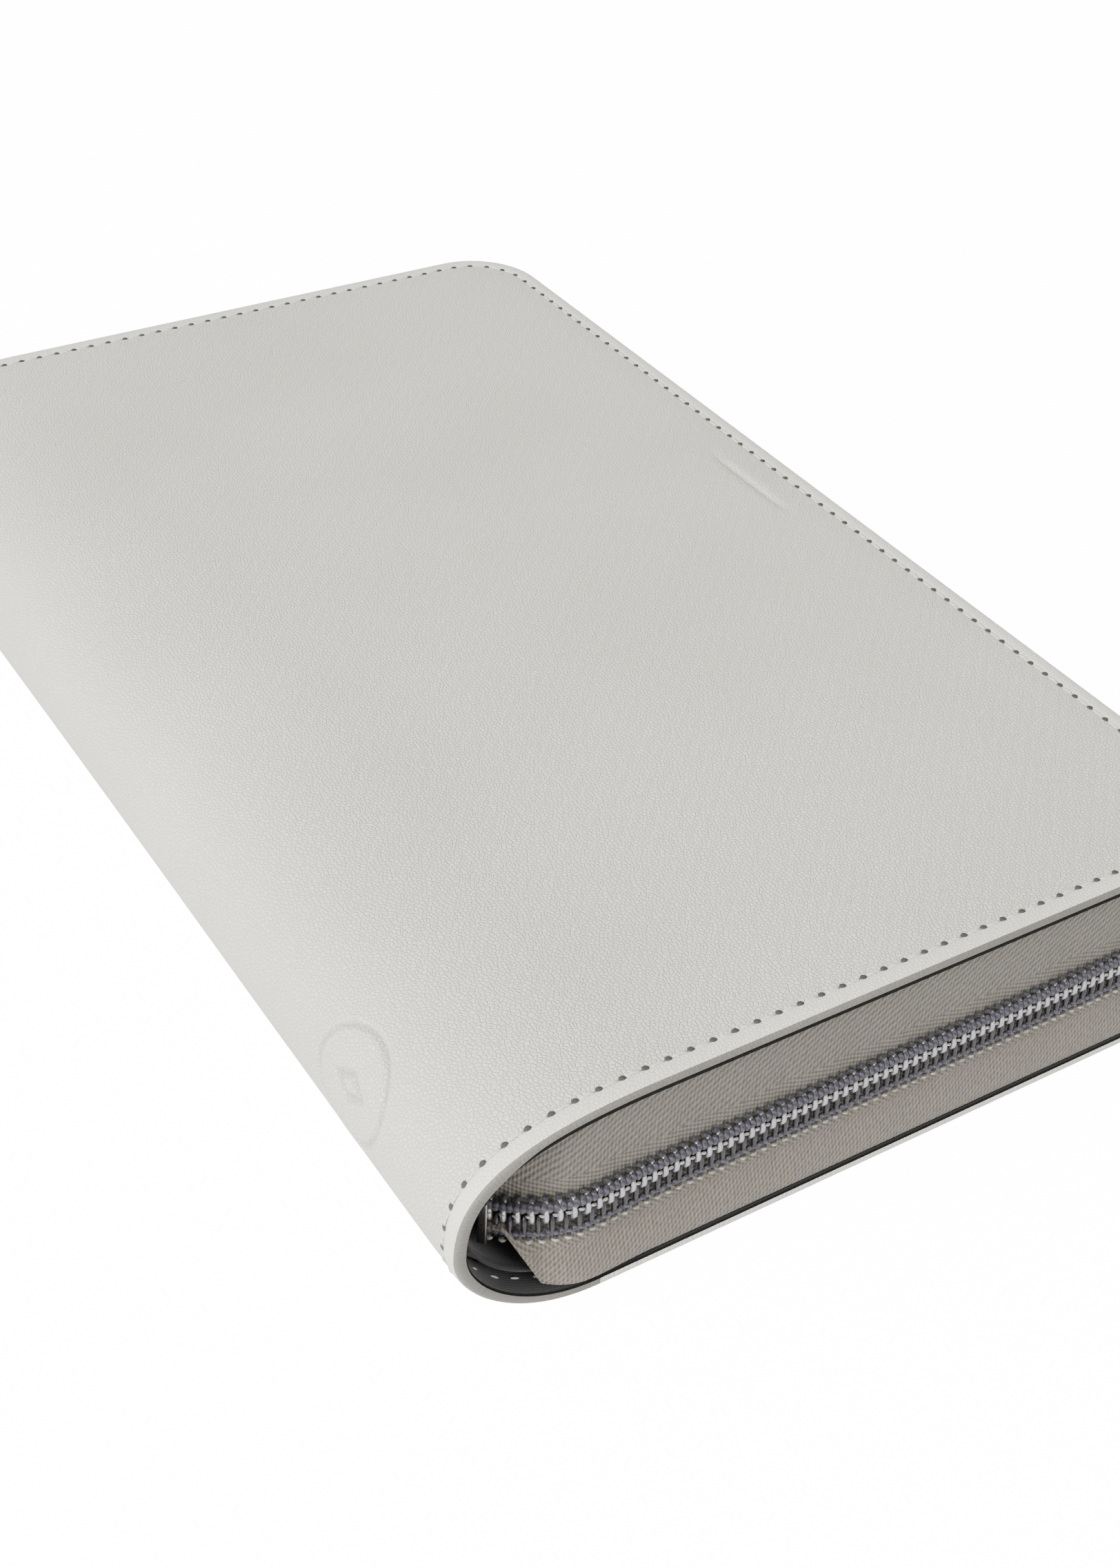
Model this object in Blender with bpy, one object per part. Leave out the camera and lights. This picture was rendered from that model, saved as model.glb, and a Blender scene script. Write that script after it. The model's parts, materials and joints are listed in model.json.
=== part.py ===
"""A zip-round prayer book: a soft wrap cover, closed on three sides by a coil zip, round a book block.

The book lies shut on its back cover, spine to the left, tail edge towards -Y. X runs from the spine to
the fore edge, Y from tail to head and Z up. The shapes below are worked out in the book's own measures,
from the outermost line of the spine, the tail edge and the underside, and moved to the origin as each
mesh is made. The origin is under the middle of the whole outline.
"""

import math

import bmesh
import bpy
import numpy as np
from mathutils import Vector

MM = 0.001

# Wrap cover
WIDTH = 118.0 * MM
LENGTH = 190.5 * MM
THICKNESS = 30.0 * MM
CORNER_RADIUS = 12.0 * MM
HINGE_HEIGHT = 15.3 * MM
FRONT_SHOULDER = 25.5 * MM
BACK_SHOULDER = 19.5 * MM
FRONT_PULLS = ((0, 24.0 * MM), (4.5 * MM, 29.9 * MM))
BACK_PULLS = ((0, 9.3 * MM), (8.0 * MM, 0))
GAP = 0.3 * MM

# Layers, as depths under the outer face
SKIN = 0.7 * MM
RIM = 1.5 * MM
RIM_WIDTH = 5.0 * MM
RIM_STEP = 0.3 * MM
BOARD_DEPTH = 1.0 * MM
BOARD = 1.4 * MM
BOARD_INSET = 5.5 * MM
LINING_DEPTH = 2.7 * MM
LINING = 0.5 * MM
LINING_INSET = 2.6 * MM
CLEAR_DEPTH = 3.5 * MM

# Zip
ZIP_HEIGHT = 13.2 * MM
ZIP_SPLIT = 1.2 * MM
TAPE_INSET = 1.7 * MM
TAPE = 0.6 * MM
FLANGE_DEPTH = 1.8 * MM
FLANGE_WIDTH = 2.9 * MM
FLANGE_TRIM = 0.2 * MM
COIL_PROUD = 0.2 * MM
COIL_DEPTH = 1.6 * MM
COIL_HALF = 3.2 * MM
COIL_ROUND = 0.5 * MM
END_START = 17.5 * MM
END_RADIUS = 15.0 * MM
TAPE_END = math.radians(50)
COIL_END = math.radians(44)
STOP_START = math.radians(46)
FOLD_FOOT = 12.8 * MM
FOLD_TIP = 7.5 * MM
TAIL_SPLIT = 27.0 * MM
HEAD_SPLIT = 31.8 * MM

# Slider and pull
SLIDER_X = 25.0 * MM
SLIDER_LENGTH = 11.0 * MM
SLIDER_HALF = 4.6 * MM
BLADE = 1.2 * MM
WEB = 0.6 * MM
BRIDGE_LENGTH = 6.8 * MM
BRIDGE_RISE = 2.6 * MM
BRIDGE_BAR = 0.9 * MM
BRIDGE_WIDTH = 2.2 * MM
PULL_LENGTH = 26.0 * MM
PULL_HALF = 3.2 * MM
PULL_PLATE = 1.0 * MM
PULL_EYE = 3.9 * MM
PULL_EYE_HALF = 1.45 * MM
PULL_NECK_START = 5.3 * MM
PULL_NECK = (6.5 * MM, 9.0 * MM)
PULL_NECK_HALF = 0.72 * PULL_HALF
PULL_FLARE = 11.0 * MM
PULL_FLARE_HALF = 0.85 * PULL_HALF

# Book block
BLOCK_BACK = 10.5 * MM
BLOCK_SHOULDER = 14.0 * MM
BLOCK_FORE = 109.5 * MM
BLOCK_MARGIN = 7.0 * MM
BLOCK_LOW = 4.6 * MM
BLOCK_TOP = 17.0 * MM
SECTION_2 = (17.3 * MM, 21.3 * MM)
SECTION_1 = (21.6 * MM, 25.4 * MM)
FRONT_LEAF = (25.7 * MM, 26.1 * MM)
REAR_LEAF = (3.7 * MM, 4.1 * MM)
LEAF_START = 20.0 * MM
PAGE_AXIS = (10.5 * MM, 26.3 * MM)
MULL = 0.4 * MM
MULL_MARGIN = 13.0 * MM
FITTING_TRIM = 2.0 * MM
BAND_RADIUS = 0.6 * MM

HINGE_OUT = GAP
BRIDGE_TOP = LENGTH + COIL_PROUD + GAP + BLADE + BRIDGE_RISE
ORIGIN = Vector(((WIDTH + COIL_PROUD) / 2, (BRIDGE_TOP - COIL_PROUD) / 2, 0))

CURVE_STEPS = 10
FINE_STEPS = 40
CORNER_STEPS = 6
END_STEPS = 5
NOTCH = (4.0 * MM, 3.0 * MM, 2.0 * MM, 1.2 * MM, 0.5 * MM, 0)
PAGE_STEPS = 4
FITTING_STEPS = 8
BAND_SIDES = 8
TIP_STEPS = 8

FINISHES = {
    "cover": ((0.58, 0.57, 0.54), 0.5, 0.0),
    "board": ((0.45, 0.40, 0.33), 0.9, 0.0),
    "lining": ((0.02, 0.02, 0.022), 0.8, 0.0),
    "tape": ((0.28, 0.27, 0.24), 0.85, 0.0),
    "coil": ((0.42, 0.42, 0.44), 0.35, 0.8),
    "metal": ((0.62, 0.61, 0.60), 0.25, 1.0),
    "paper": ((0.86, 0.84, 0.77), 0.9, 0.0),
    "mull": ((0.75, 0.73, 0.68), 0.9, 0.0),
    "band": ((0.80, 0.78, 0.72), 0.8, 0.0),
}


def clear_scene():
    for item in list(bpy.data.objects):
        bpy.data.objects.remove(item)


def add_axis(name, place, parent=None):
    """An empty on a joint's axis, given in the book's measures, that carries the pieces that turn with it."""
    axis = bpy.data.objects.new(name, None)
    bpy.context.scene.collection.objects.link(axis)
    axis["book_place"] = place
    axis.location = Vector(place) - (Vector(parent["book_place"]) if parent else ORIGIN)
    axis.parent = parent
    return axis


def add_piece(name, finish, points, faces, parent=None):
    """One closed piece from points in the book's measures, with its origin on its parent's axis."""
    place = Vector(parent["book_place"]) if parent else ORIGIN
    mesh = bpy.data.meshes.new(name)
    mesh.from_pydata([tuple(Vector(p) - place) for p in points], [], faces)
    bm = bmesh.new()
    bm.from_mesh(mesh)
    bmesh.ops.recalc_face_normals(bm, faces=bm.faces)
    bm.to_mesh(mesh)
    bm.free()
    piece = bpy.data.objects.new(name, mesh)
    bpy.context.scene.collection.objects.link(piece)
    piece.parent = parent
    color, roughness, metallic = FINISHES[finish]
    material = bpy.data.materials.new(name)
    material.use_nodes = True
    shader = material.node_tree.nodes["Principled BSDF"]
    shader.inputs["Base Color"].default_value = (*color, 1)
    shader.inputs["Roughness"].default_value = roughness
    shader.inputs["Metallic"].default_value = metallic
    mesh.materials.append(material)
    return piece


def bridge(loops):
    """Points and faces of a closed body through a row of equal loops, capped at both ends."""
    count = len(loops[0])
    points = [p for loop in loops for p in loop]
    faces = [tuple(range(count))]
    faces.append(tuple(range(len(points) - count, len(points))))
    for row in range(len(loops) - 1):
        first, second = row * count, (row + 1) * count
        for i in range(count):
            j = (i + 1) % count
            faces.append((first + i, first + j, second + j, second + i))
    return points, faces


# ---------------------------------------------------------------- wrap cover


def bezier(p0, c0, c1, p1, steps):
    t = np.linspace(0, 1, steps + 1)[:, None]
    p0, c0, c1, p1 = (np.array(p) for p in (p0, c0, c1, p1))
    return p0 * (1 - t) ** 3 + 3 * c0 * t * (1 - t) ** 2 + 3 * c1 * t * t * (1 - t) + p1 * t**3


def spine_curve(front, steps=CURVE_STEPS):
    """The outer face in section, as (x, z), from the hinge line at mid spine to the shoulder."""
    pulls = FRONT_PULLS if front else BACK_PULLS
    shoulder = (FRONT_SHOULDER, THICKNESS) if front else (BACK_SHOULDER, 0)
    return bezier((0, HINGE_HEIGHT), *pulls, shoulder, steps)


def outward(line, front):
    """The unit normals of a section line, pointing out of the cover."""
    run = np.gradient(line, axis=0)
    run /= np.linalg.norm(run, axis=1)[:, None]
    side = 1 if front else -1
    run[0] = (0, side)
    run[-1] = (1, 0)
    return np.stack([-run[:, 1], run[:, 0]], axis=1) * side


def under(front, depth, steps=FINE_STEPS):
    """The spine curve again at a depth under the outer face."""
    line = spine_curve(front, steps)
    return line - outward(line, front) * depth


def edge_at(x, inset):
    """How far from the tail edge a layer starts at x, with its fore corners rounded."""
    radius = CORNER_RADIUS - inset
    past = x - (WIDTH - CORNER_RADIUS)
    if past <= 0:
        return inset
    return inset + radius - math.sqrt(max(radius**2 - past**2, 0))


def spine_columns(front, start, stop):
    """Columns (x, z, outward x, outward z) of a layer round the spine, the ends held off by start and stop."""
    line = spine_curve(front)
    normals = outward(line, front)
    line[0] += (0, start if front else -start)
    line[-1] -= (stop, 0)
    return [(*p, *n) for p, n in zip(line, normals)]


def flat_columns(front, inset, start, extra=()):
    """Columns of a layer over the flat of a board, close together round the fore corners."""
    level = THICKNESS if front else 0
    turn = np.linspace(0, math.pi / 2, CORNER_STEPS + 1)
    radius = CORNER_RADIUS - inset
    places = {round(x, 9) for x in WIDTH - CORNER_RADIUS + radius * np.sin(turn)}
    places |= {round(x, 9) for x in extra}
    places |= {round(start, 9)}
    return [(x, level, 0, 1 if front else -1) for x in sorted(places)]


def add_layer(name, finish, columns, depth, thickness, inset, parent, rim=None):
    """A sheet under the outer face. A rim is (thickness, width): the sheet is that thick along its edges."""
    loops = []
    fore = columns[-1][0]
    for x, z, nx, nz in columns:
        low = edge_at(x, inset)
        rows = [(low, thickness)]
        if rim:
            thin = thickness if x < fore - rim[1] - RIM_STEP / 2 else rim[0]
            rows = [(low, rim[0]), (low + rim[1], rim[0]), (low + rim[1] + RIM_STEP, thin)]
        rows += [(LENGTH - y, t) for y, t in reversed(rows)]
        top = [(x - nx * depth, y, z - nz * depth) for y, t in rows]
        low_side = [(x - nx * (depth + t), y, z - nz * (depth + t)) for y, t in reversed(rows)]
        loops.append(top + low_side)
    add_piece(name, finish, *bridge(loops), parent=parent)


def add_cover(front, parent):
    side = "front" if front else "back"
    shoulder = FRONT_SHOULDER if front else BACK_SHOULDER
    spine = spine_columns(front, GAP / 2, 0)
    rim_columns = (WIDTH - RIM_WIDTH - RIM_STEP, WIDTH - RIM_WIDTH)
    skin = spine[:-1] + flat_columns(front, 0, shoulder, rim_columns)
    add_layer(side + "_cover_skin", "cover", skin, 0, SKIN, 0, parent, (RIM, RIM_WIDTH))
    board = flat_columns(front, BOARD_INSET, shoulder + GAP)
    add_layer(side + "_cover_board", "board", board, BOARD_DEPTH, BOARD, BOARD_INSET, parent)
    stiffener = spine_columns(front, GAP / 2, GAP)
    half = "upper" if front else "lower"
    add_layer(half + "_spine_stiffener", "board", stiffener, BOARD_DEPTH, BOARD, BOARD_INSET, parent)
    lining = spine[:-1] + flat_columns(front, LINING_INSET, shoulder)
    add_layer(side + "_cover_lining", "lining", lining, LINING_DEPTH, LINING, LINING_INSET, parent)


# ---------------------------------------------------------------- zip


def tail_arc(last, first=0.0):
    """Stations (x, y, outward x, outward y) where the chain turns in behind the spine at the tail."""
    turn = np.linspace(last, first, END_STEPS + 1)
    x, y = END_START - END_RADIUS * np.sin(turn), END_RADIUS * (1 - np.cos(turn))
    return [(*s,) for s in zip(x, y, -np.sin(turn), -np.cos(turn))]


def head_side(stations):
    """The same stations at the head, in the opposite order."""
    return [(x, LENGTH - y, nx, -ny) for x, y, nx, ny in reversed(stations)]


def run_path(tail_x, head_x):
    """Stations round the three open sides, from a place on the tail to a place on the head."""
    turn = np.linspace(0, math.pi / 2, CORNER_STEPS + 1)
    x = WIDTH - CORNER_RADIUS * (1 - np.sin(turn))
    y = CORNER_RADIUS * (1 - np.cos(turn))
    corner = [(*s,) for s in zip(x, y, np.sin(turn), -np.cos(turn))]
    return [(tail_x, 0, 0, -1)] + corner + head_side(corner) + [(head_x, LENGTH, 0, 1)]


def sweep(name, finish, path, section, parent=None):
    """A body swept along stations. The section gives its (inset, z) corners at a station's x."""
    loops = []
    for x, y, nx, ny in path:
        loops.append([(x - nx * inset, y - ny * inset, z) for inset, z in section(x)])
    add_piece(name, finish, *bridge(loops), parent=parent)


def tape_section(upper, split=None):
    """A tape stands up from its seam allowance, which lies under the cover's rim. Near the spine it narrows
    to what fits inside the curve, and the lower tape's end is folded back on the slant. A fixed end that
    stops at a split is cut back to the arc that the turning tape's edge clears."""
    inner = under(upper, CLEAR_DEPTH)
    side = 1 if upper else -1
    seam = THICKNESS - FLANGE_DEPTH if upper else FLANGE_DEPTH
    edge = ZIP_HEIGHT + side * ZIP_SPLIT / 2
    back = TAPE_INSET + TAPE

    def section(x):
        level = seam if x > TAIL_SPLIT - 2 * GAP else float(np.interp(x, inner[:, 0], inner[:, 1]))
        flange = FLANGE_WIDTH if x >= TAIL_SPLIT else FLANGE_TRIM
        if not upper and x < FOLD_FOOT:
            rise = (FOLD_FOOT - x) / (FOLD_FOOT - FOLD_TIP)
            level = max(level, CLEAR_DEPTH + rise * (edge - CLEAR_DEPTH))
            level = min(level, edge - 2 * TAPE)
        if split:
            reach = (split - GAP + HINGE_OUT) ** 2 - (x + HINGE_OUT) ** 2
            level = min(level, HINGE_HEIGHT + math.sqrt(max(reach, TAPE**2)))
        turn = level - side * TAPE
        return [
            (TAPE_INSET, edge),
            (TAPE_INSET, level),
            (back + flange, level),
            (back + flange, turn),
            (back, turn),
            (back, edge),
        ]

    return section


def coil_section(upper, split=None):
    """Half of the chain in outline, its outer corners rounded off. It clears the hinge arc as it is."""
    side = 1 if upper else -1
    near = ZIP_HEIGHT + side * ZIP_SPLIT / 2
    far = ZIP_HEIGHT + side * COIL_HALF
    face, back = -COIL_PROUD, COIL_DEPTH - COIL_PROUD

    def section(x):
        return [
            (back, near),
            (face, near),
            (face, far - side * COIL_ROUND),
            (face + COIL_ROUND, far),
            (back, far),
        ]

    return section


def stop_section(low, high):
    face, back = -COIL_PROUD, COIL_DEPTH - COIL_PROUD
    return lambda x: [(back, low), (face, low), (face, high), (back, high)]


def add_zip(front):
    """Both tapes and chains. What lies behind the spine's ends stays put when the front cover opens."""
    tail_stop = [(TAIL_SPLIT - GAP, 0, 0, -1)]
    tape_tail = tail_arc(TAPE_END)
    coil_tail = tail_arc(COIL_END)
    ring = run_path(TAIL_SPLIT, TAIL_SPLIT)
    lower = tape_tail + tail_stop + ring + head_side(tape_tail + tail_stop)
    sweep("lower_zip_tape", "tape", lower, tape_section(False))
    sweep("lower_zip_coil", "coil", coil_tail + ring + head_side(coil_tail), coil_section(False))
    opening = run_path(TAIL_SPLIT, HEAD_SPLIT)
    sweep("upper_zip_tape", "tape", opening, tape_section(True), front)
    sweep("upper_zip_coil", "coil", opening, coil_section(True), front)
    for finish, section, arc in (("tape", tape_section, tape_tail), ("coil", coil_section, coil_tail)):
        for side, split in (("tail", TAIL_SPLIT), ("head", HEAD_SPLIT)):
            path = arc + [(split - GAP - step, 0, 0, -1) for step in NOTCH]
            path = head_side(path) if side == "head" else path
            sweep(f"upper_{finish}_{side}_end", finish, path, end_section(section, split))
    end_clamp = tail_arc(TAPE_END, STOP_START)
    low, high = ZIP_HEIGHT - COIL_HALF, ZIP_HEIGHT + COIL_HALF
    sweep("bottom_stop", "metal", end_clamp, stop_section(low, high))
    top = head_side(end_clamp)
    sweep("lower_top_stop", "metal", top, stop_section(low, ZIP_HEIGHT - ZIP_SPLIT / 2))
    sweep("upper_top_stop", "metal", top, stop_section(ZIP_HEIGHT + ZIP_SPLIT / 2, high))


def end_section(section, split):
    """The section of a fixed end, which keeps its seam allowance trimmed all along."""
    full = section(True, split)
    trim = TAPE_INSET + TAPE + FLANGE_TRIM
    return lambda x: [(min(inset, trim), z) for inset, z in full(x)]


# ---------------------------------------------------------------- slider and pull


def prism(outline, low, high, along):
    """A closed body between two copies of an outline, given in the other two axes in X, Y, Z order."""
    loops = []
    for level in (low, high):
        loops.append([tuple(np.insert(np.array(p, float), along, level)) for p in outline])
    return bridge(loops)


def add_slider(carriage):
    """Two blades on a narrow web, with flanges that close round the chain, and the bridge for the pull."""
    half, gap = SLIDER_HALF, GAP
    face = LENGTH + COIL_PROUD + gap
    lip = LENGTH - TAPE_INSET + gap
    inner = LENGTH - TAPE_INSET - TAPE - gap
    chain = COIL_HALF + gap
    upper = [
        (face + BLADE, half - gap),
        (face + BLADE - gap, half),
        (lip, half),
        (lip, chain),
        (face, chain),
        (face, WEB / 2),
        (inner, WEB / 2),
        (inner, half - gap),
        (inner - BLADE + gap, half - gap),
        (inner - BLADE, half - 2 * gap),
    ]
    outline = upper + [(y, -z) for y, z in reversed(upper)]
    outline = [(y, z + ZIP_HEIGHT) for y, z in outline]
    ends = (SLIDER_X - SLIDER_LENGTH / 2, SLIDER_X + SLIDER_LENGTH / 2)
    body = add_piece("slider_body", "metal", *prism(outline, *ends, 0), parent=carriage)

    top, foot = face + BLADE + BRIDGE_RISE, face + BLADE - gap
    reach, leg = BRIDGE_LENGTH / 2, BRIDGE_LENGTH / 2 - BRIDGE_BAR
    arch = [
        (reach, foot),
        (reach, top - BRIDGE_BAR),
        (leg, top),
        (-leg, top),
        (-reach, top - BRIDGE_BAR),
        (-reach, foot),
        (-leg, foot),
        (-leg, top - BRIDGE_BAR),
        (leg, top - BRIDGE_BAR),
        (leg, foot),
    ]
    arch = [(SLIDER_X + x, y) for x, y in arch]
    low, high = ZIP_HEIGHT - BRIDGE_WIDTH / 2, ZIP_HEIGHT + BRIDGE_WIDTH / 2
    cutter = add_piece("slider_bridge_shape", "metal", *prism(arch, low, high, 2), parent=carriage)
    cutter.hide_render = True
    cutter.display_type = "WIRE"
    union = body.modifiers.new("bridge", "BOOLEAN")
    union.operation = "UNION"
    union.object = cutter
    return body


def pull_outline():
    """The pull seen flat: a straight eye end, a waist and a round free end, as distances from its pivot."""
    tip = PULL_LENGTH - PULL_HALF
    turn = np.linspace(0, math.pi, TIP_STEPS + 1)
    round_end = [(tip + PULL_HALF * math.sin(a), PULL_HALF * math.cos(a)) for a in turn]
    side = [
        (-PULL_PLATE / 2, PULL_HALF),
        (PULL_NECK_START, PULL_HALF),
        (PULL_NECK[0], PULL_NECK_HALF),
        (PULL_NECK[1], PULL_NECK_HALF),
        (PULL_FLARE, PULL_FLARE_HALF),
    ]
    return side + round_end + [(x, -z) for x, z in reversed(side)]


def add_pull(pivot, axis):
    """A flat pull with an eye. The bar across the eye's end passes under the slider's bridge."""
    bm = bmesh.new()
    eye = PULL_PLATE / 2
    wide = PULL_EYE_HALF
    hole = [(eye, wide), (PULL_EYE, wide), (PULL_EYE, -wide), (eye, -wide)]
    edges = []
    for loop in (pull_outline(), hole):
        corners = [bm.verts.new((x, -PULL_PLATE / 2, z)) for x, z in loop]
        for i, corner in enumerate(corners):
            edges.append(bm.edges.new((corner, corners[(i + 1) % len(corners)])))
    bmesh.ops.triangle_fill(bm, use_beauty=True, edges=edges)
    raised = bmesh.ops.extrude_face_region(bm, geom=bm.faces[:])["geom"]
    moved = [v for v in raised if isinstance(v, bmesh.types.BMVert)]
    bmesh.ops.translate(bm, verts=moved, vec=(0, PULL_PLATE, 0))
    bm.verts.index_update()
    points = [tuple(v.co + Vector(axis)) for v in bm.verts]
    faces = [tuple(v.index for v in f.verts) for f in bm.faces]
    bm.free()
    add_piece("pull_tab", "metal", points, faces, parent=pivot)


# ---------------------------------------------------------------- book block


def back_at(z):
    """Where the rounded back of the book block stands at a height."""
    middle = (BLOCK_LOW + FRONT_LEAF[1]) / 2
    share = (z - middle) / (FRONT_LEAF[1] - middle)
    return BLOCK_SHOULDER - (BLOCK_SHOULDER - BLOCK_BACK) * math.sqrt(max(1 - share**2, 0))


def add_pages(name, low, high, parent=None):
    heights = np.linspace(low, high, PAGE_STEPS + 1)
    outline = [(back_at(z), z) for z in heights] + [(BLOCK_FORE, high), (BLOCK_FORE, low)]
    ends = (BLOCK_MARGIN, LENGTH - BLOCK_MARGIN)
    add_piece(name, "paper", *prism(outline, *ends, 1), parent=parent)


def add_leaf(name, low, high, parent=None):
    """A flyleaf. It is free of the block from where the cover has curved clear of it."""
    outline = [(LEAF_START, low), (LEAF_START, high), (BLOCK_FORE, high), (BLOCK_FORE, low)]
    ends = (BLOCK_MARGIN, LENGTH - BLOCK_MARGIN)
    add_piece(name, "paper", *prism(outline, *ends, 1), parent=parent)


def add_back_fittings():
    """The mull that is glued over the back of the block, and the sewn band at each end of it."""
    lowest, highest = BLOCK_LOW + FITTING_TRIM, FRONT_LEAF[0] - FITTING_TRIM
    heights = np.linspace(lowest, highest, FITTING_STEPS + 1)
    near = [(back_at(z) - GAP, z) for z in heights]
    far = [(x - MULL, z) for x, z in near]
    ends = (MULL_MARGIN, LENGTH - MULL_MARGIN)
    add_piece("spine_mull", "mull", *prism(near + far[::-1], *ends, 1))
    clear = BAND_RADIUS + GAP
    turn = np.linspace(0, 2 * math.pi, BAND_SIDES, endpoint=False)
    ring = [(BAND_RADIUS * math.cos(a), BAND_RADIUS * math.sin(a)) for a in turn]
    for name, y in (("tailband", BLOCK_MARGIN - clear), ("headband", LENGTH - BLOCK_MARGIN + clear)):
        loops = []
        for z in heights:
            x = back_at(z) - BAND_RADIUS
            loops.append([(x + dx, y + dy, z) for dx, dy in ring])
        add_piece(name, "band", *bridge(loops))


# ---------------------------------------------------------------- assembly

clear_scene()
half_length = LENGTH / 2
front_hinge = add_axis("front_cover_hinge", (-HINGE_OUT, half_length, HINGE_HEIGHT))
page_hinge = add_axis("page_hinge", (PAGE_AXIS[0], half_length, PAGE_AXIS[1]))
slider_axis = add_axis("slider_carriage", (SLIDER_X, LENGTH, ZIP_HEIGHT))
pivot_place = (SLIDER_X, BRIDGE_TOP - BRIDGE_BAR - (BRIDGE_RISE - BRIDGE_BAR) / 2, ZIP_HEIGHT)
pull_axis = add_axis("pull_pivot", pivot_place, slider_axis)

add_cover(True, front_hinge)
add_cover(False, None)
add_zip(front_hinge)
add_slider(slider_axis)
add_pull(pull_axis, pivot_place)
add_pages("text_block", BLOCK_LOW, BLOCK_TOP)
add_pages("page_section_2", *SECTION_2, page_hinge)
add_pages("page_section_1", *SECTION_1, page_hinge)
add_leaf("front_flyleaf", *FRONT_LEAF, page_hinge)
add_leaf("rear_flyleaf", *REAR_LEAF)
add_back_fittings()
bpy.context.view_layer.update()
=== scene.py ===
"""Looks of a zip-round prayer book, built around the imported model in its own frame, in metres.

The book lies shut on its back cover, spine towards -X, tail edge towards -Y. A point on the wrap cover is
given by two lengths: girth, run over the outer face from the front's fore edge round the spine to the
back's fore edge, and y along the book.
"""

import json
import math

import bmesh
import bpy
import numpy as np
from mathutils import Matrix, Vector


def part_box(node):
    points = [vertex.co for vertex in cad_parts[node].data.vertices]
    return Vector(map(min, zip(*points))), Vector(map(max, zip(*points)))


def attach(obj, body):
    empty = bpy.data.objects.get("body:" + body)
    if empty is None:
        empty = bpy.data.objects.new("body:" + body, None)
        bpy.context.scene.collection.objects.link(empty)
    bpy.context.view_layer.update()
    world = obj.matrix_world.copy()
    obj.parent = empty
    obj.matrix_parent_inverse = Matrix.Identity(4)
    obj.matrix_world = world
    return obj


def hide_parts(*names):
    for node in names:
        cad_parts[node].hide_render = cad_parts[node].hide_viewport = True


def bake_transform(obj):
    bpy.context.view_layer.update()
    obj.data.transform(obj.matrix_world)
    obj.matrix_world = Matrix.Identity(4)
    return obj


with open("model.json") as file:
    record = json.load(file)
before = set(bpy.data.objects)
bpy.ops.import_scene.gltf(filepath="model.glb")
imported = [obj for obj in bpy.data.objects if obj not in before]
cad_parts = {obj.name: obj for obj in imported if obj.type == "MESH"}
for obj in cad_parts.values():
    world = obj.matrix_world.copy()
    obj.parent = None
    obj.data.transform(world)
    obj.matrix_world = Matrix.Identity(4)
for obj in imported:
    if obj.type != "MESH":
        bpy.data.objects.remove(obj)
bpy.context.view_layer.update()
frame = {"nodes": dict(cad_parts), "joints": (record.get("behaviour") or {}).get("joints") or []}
MM = 0.001

# ---------------------------------------------------------------- wrap cover
# One piece of bonded leather on board, wrapped from the front round the spine to the back. Its edge is
# turned, topstitched 2.7 mm in and rolled over, so a soft raised band runs outside the stitches. The two
# plain marks, a ring with a lozenge on the spine and a short rule on the front, are blind-tooled.
COVER_LOW, COVER_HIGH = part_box("front_cover_skin")
SPINE, TAIL = COVER_LOW.x, COVER_LOW.y
FORE, HEAD, TOP = COVER_HIGH
HINGE = next(j for j in frame["joints"] if j["name"] == "front_cover_hinge")["pos_m"]
CORNER = 12 * MM
CURVE_STEPS = 160
FRONT_CURVE = ((0, 24 * MM), (4.5 * MM, TOP - 0.1 * MM), (25.5 * MM, TOP))  # in from the spine, and height
BACK_CURVE = ((0, 9.3 * MM), (8 * MM, 0), (19.5 * MM, 0))
SKIN = 0.9 * MM
RIM = 1.5 * MM  # the leather and its turning together
RIM_WIDTH = 5 * MM
STITCH_INSET = 2.7 * MM
STITCH_PITCH = 3.0 * MM
ROLL, ROLL_SHARE = 0.7 * MM, 0.96
PUFF, PUFF_AT = 0.13 * MM, (1.6 * MM, 0.9 * MM)  # the soft band, and its inset and width
SEAM_DENT, SEAM_WIDTH = 0.16 * MM, 0.28 * MM
CROWN, CROWN_RISE, CROWN_FALL = 0.1 * MM, (3.2 * MM, 6 * MM), (8 * MM, 40 * MM)
WAVE, WAVE_FROM = 0.07 * MM, (4 * MM, 16 * MM)
EMBLEM = (121.5 * MM, TAIL + 25 * MM)
EMBLEM_RADIUS = 7 * MM
LOZENGE_CLEAR = 1 * MM
LOZENGE = (1.6, 2.6)  # half diagonals for each millimetre below
LOZENGE_UNIT = 1 * MM
RULE_INSET = 8.5 * MM
RULE = (TAIL + 91 * MM, TAIL + 111 * MM)
RULE_FADE = 4 * MM
RULE_SIDE = 30 * MM
RING_LINE, LOZENGE_LINE, RULE_LINE = (0.42 * MM, 0.38 * MM), (0.5 * MM, 0.36 * MM), (0.4 * MM, 0.6 * MM)
SWELL = 0.06 * MM


def bezier(points, steps):
    t = np.linspace(0, 1, steps + 1)[:, None]
    a, b, c, d = (np.array(p) for p in points)
    return (1 - t) ** 3 * a + 3 * (1 - t) ** 2 * t * b + 3 * (1 - t) * t**2 * c + t**3 * d


def wrap_line():
    """The outer face in section, as (x, z), from the front's fore edge to the back's."""
    halves = []
    for curve in (FRONT_CURVE, BACK_CURVE):
        halves.append(bezier([(SPINE, HINGE[2])] + [(SPINE + x, z) for x, z in curve], CURVE_STEPS))
    return np.vstack([[(FORE, TOP)], halves[0][::-1], halves[1][1:], [(FORE, 0)]])


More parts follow.
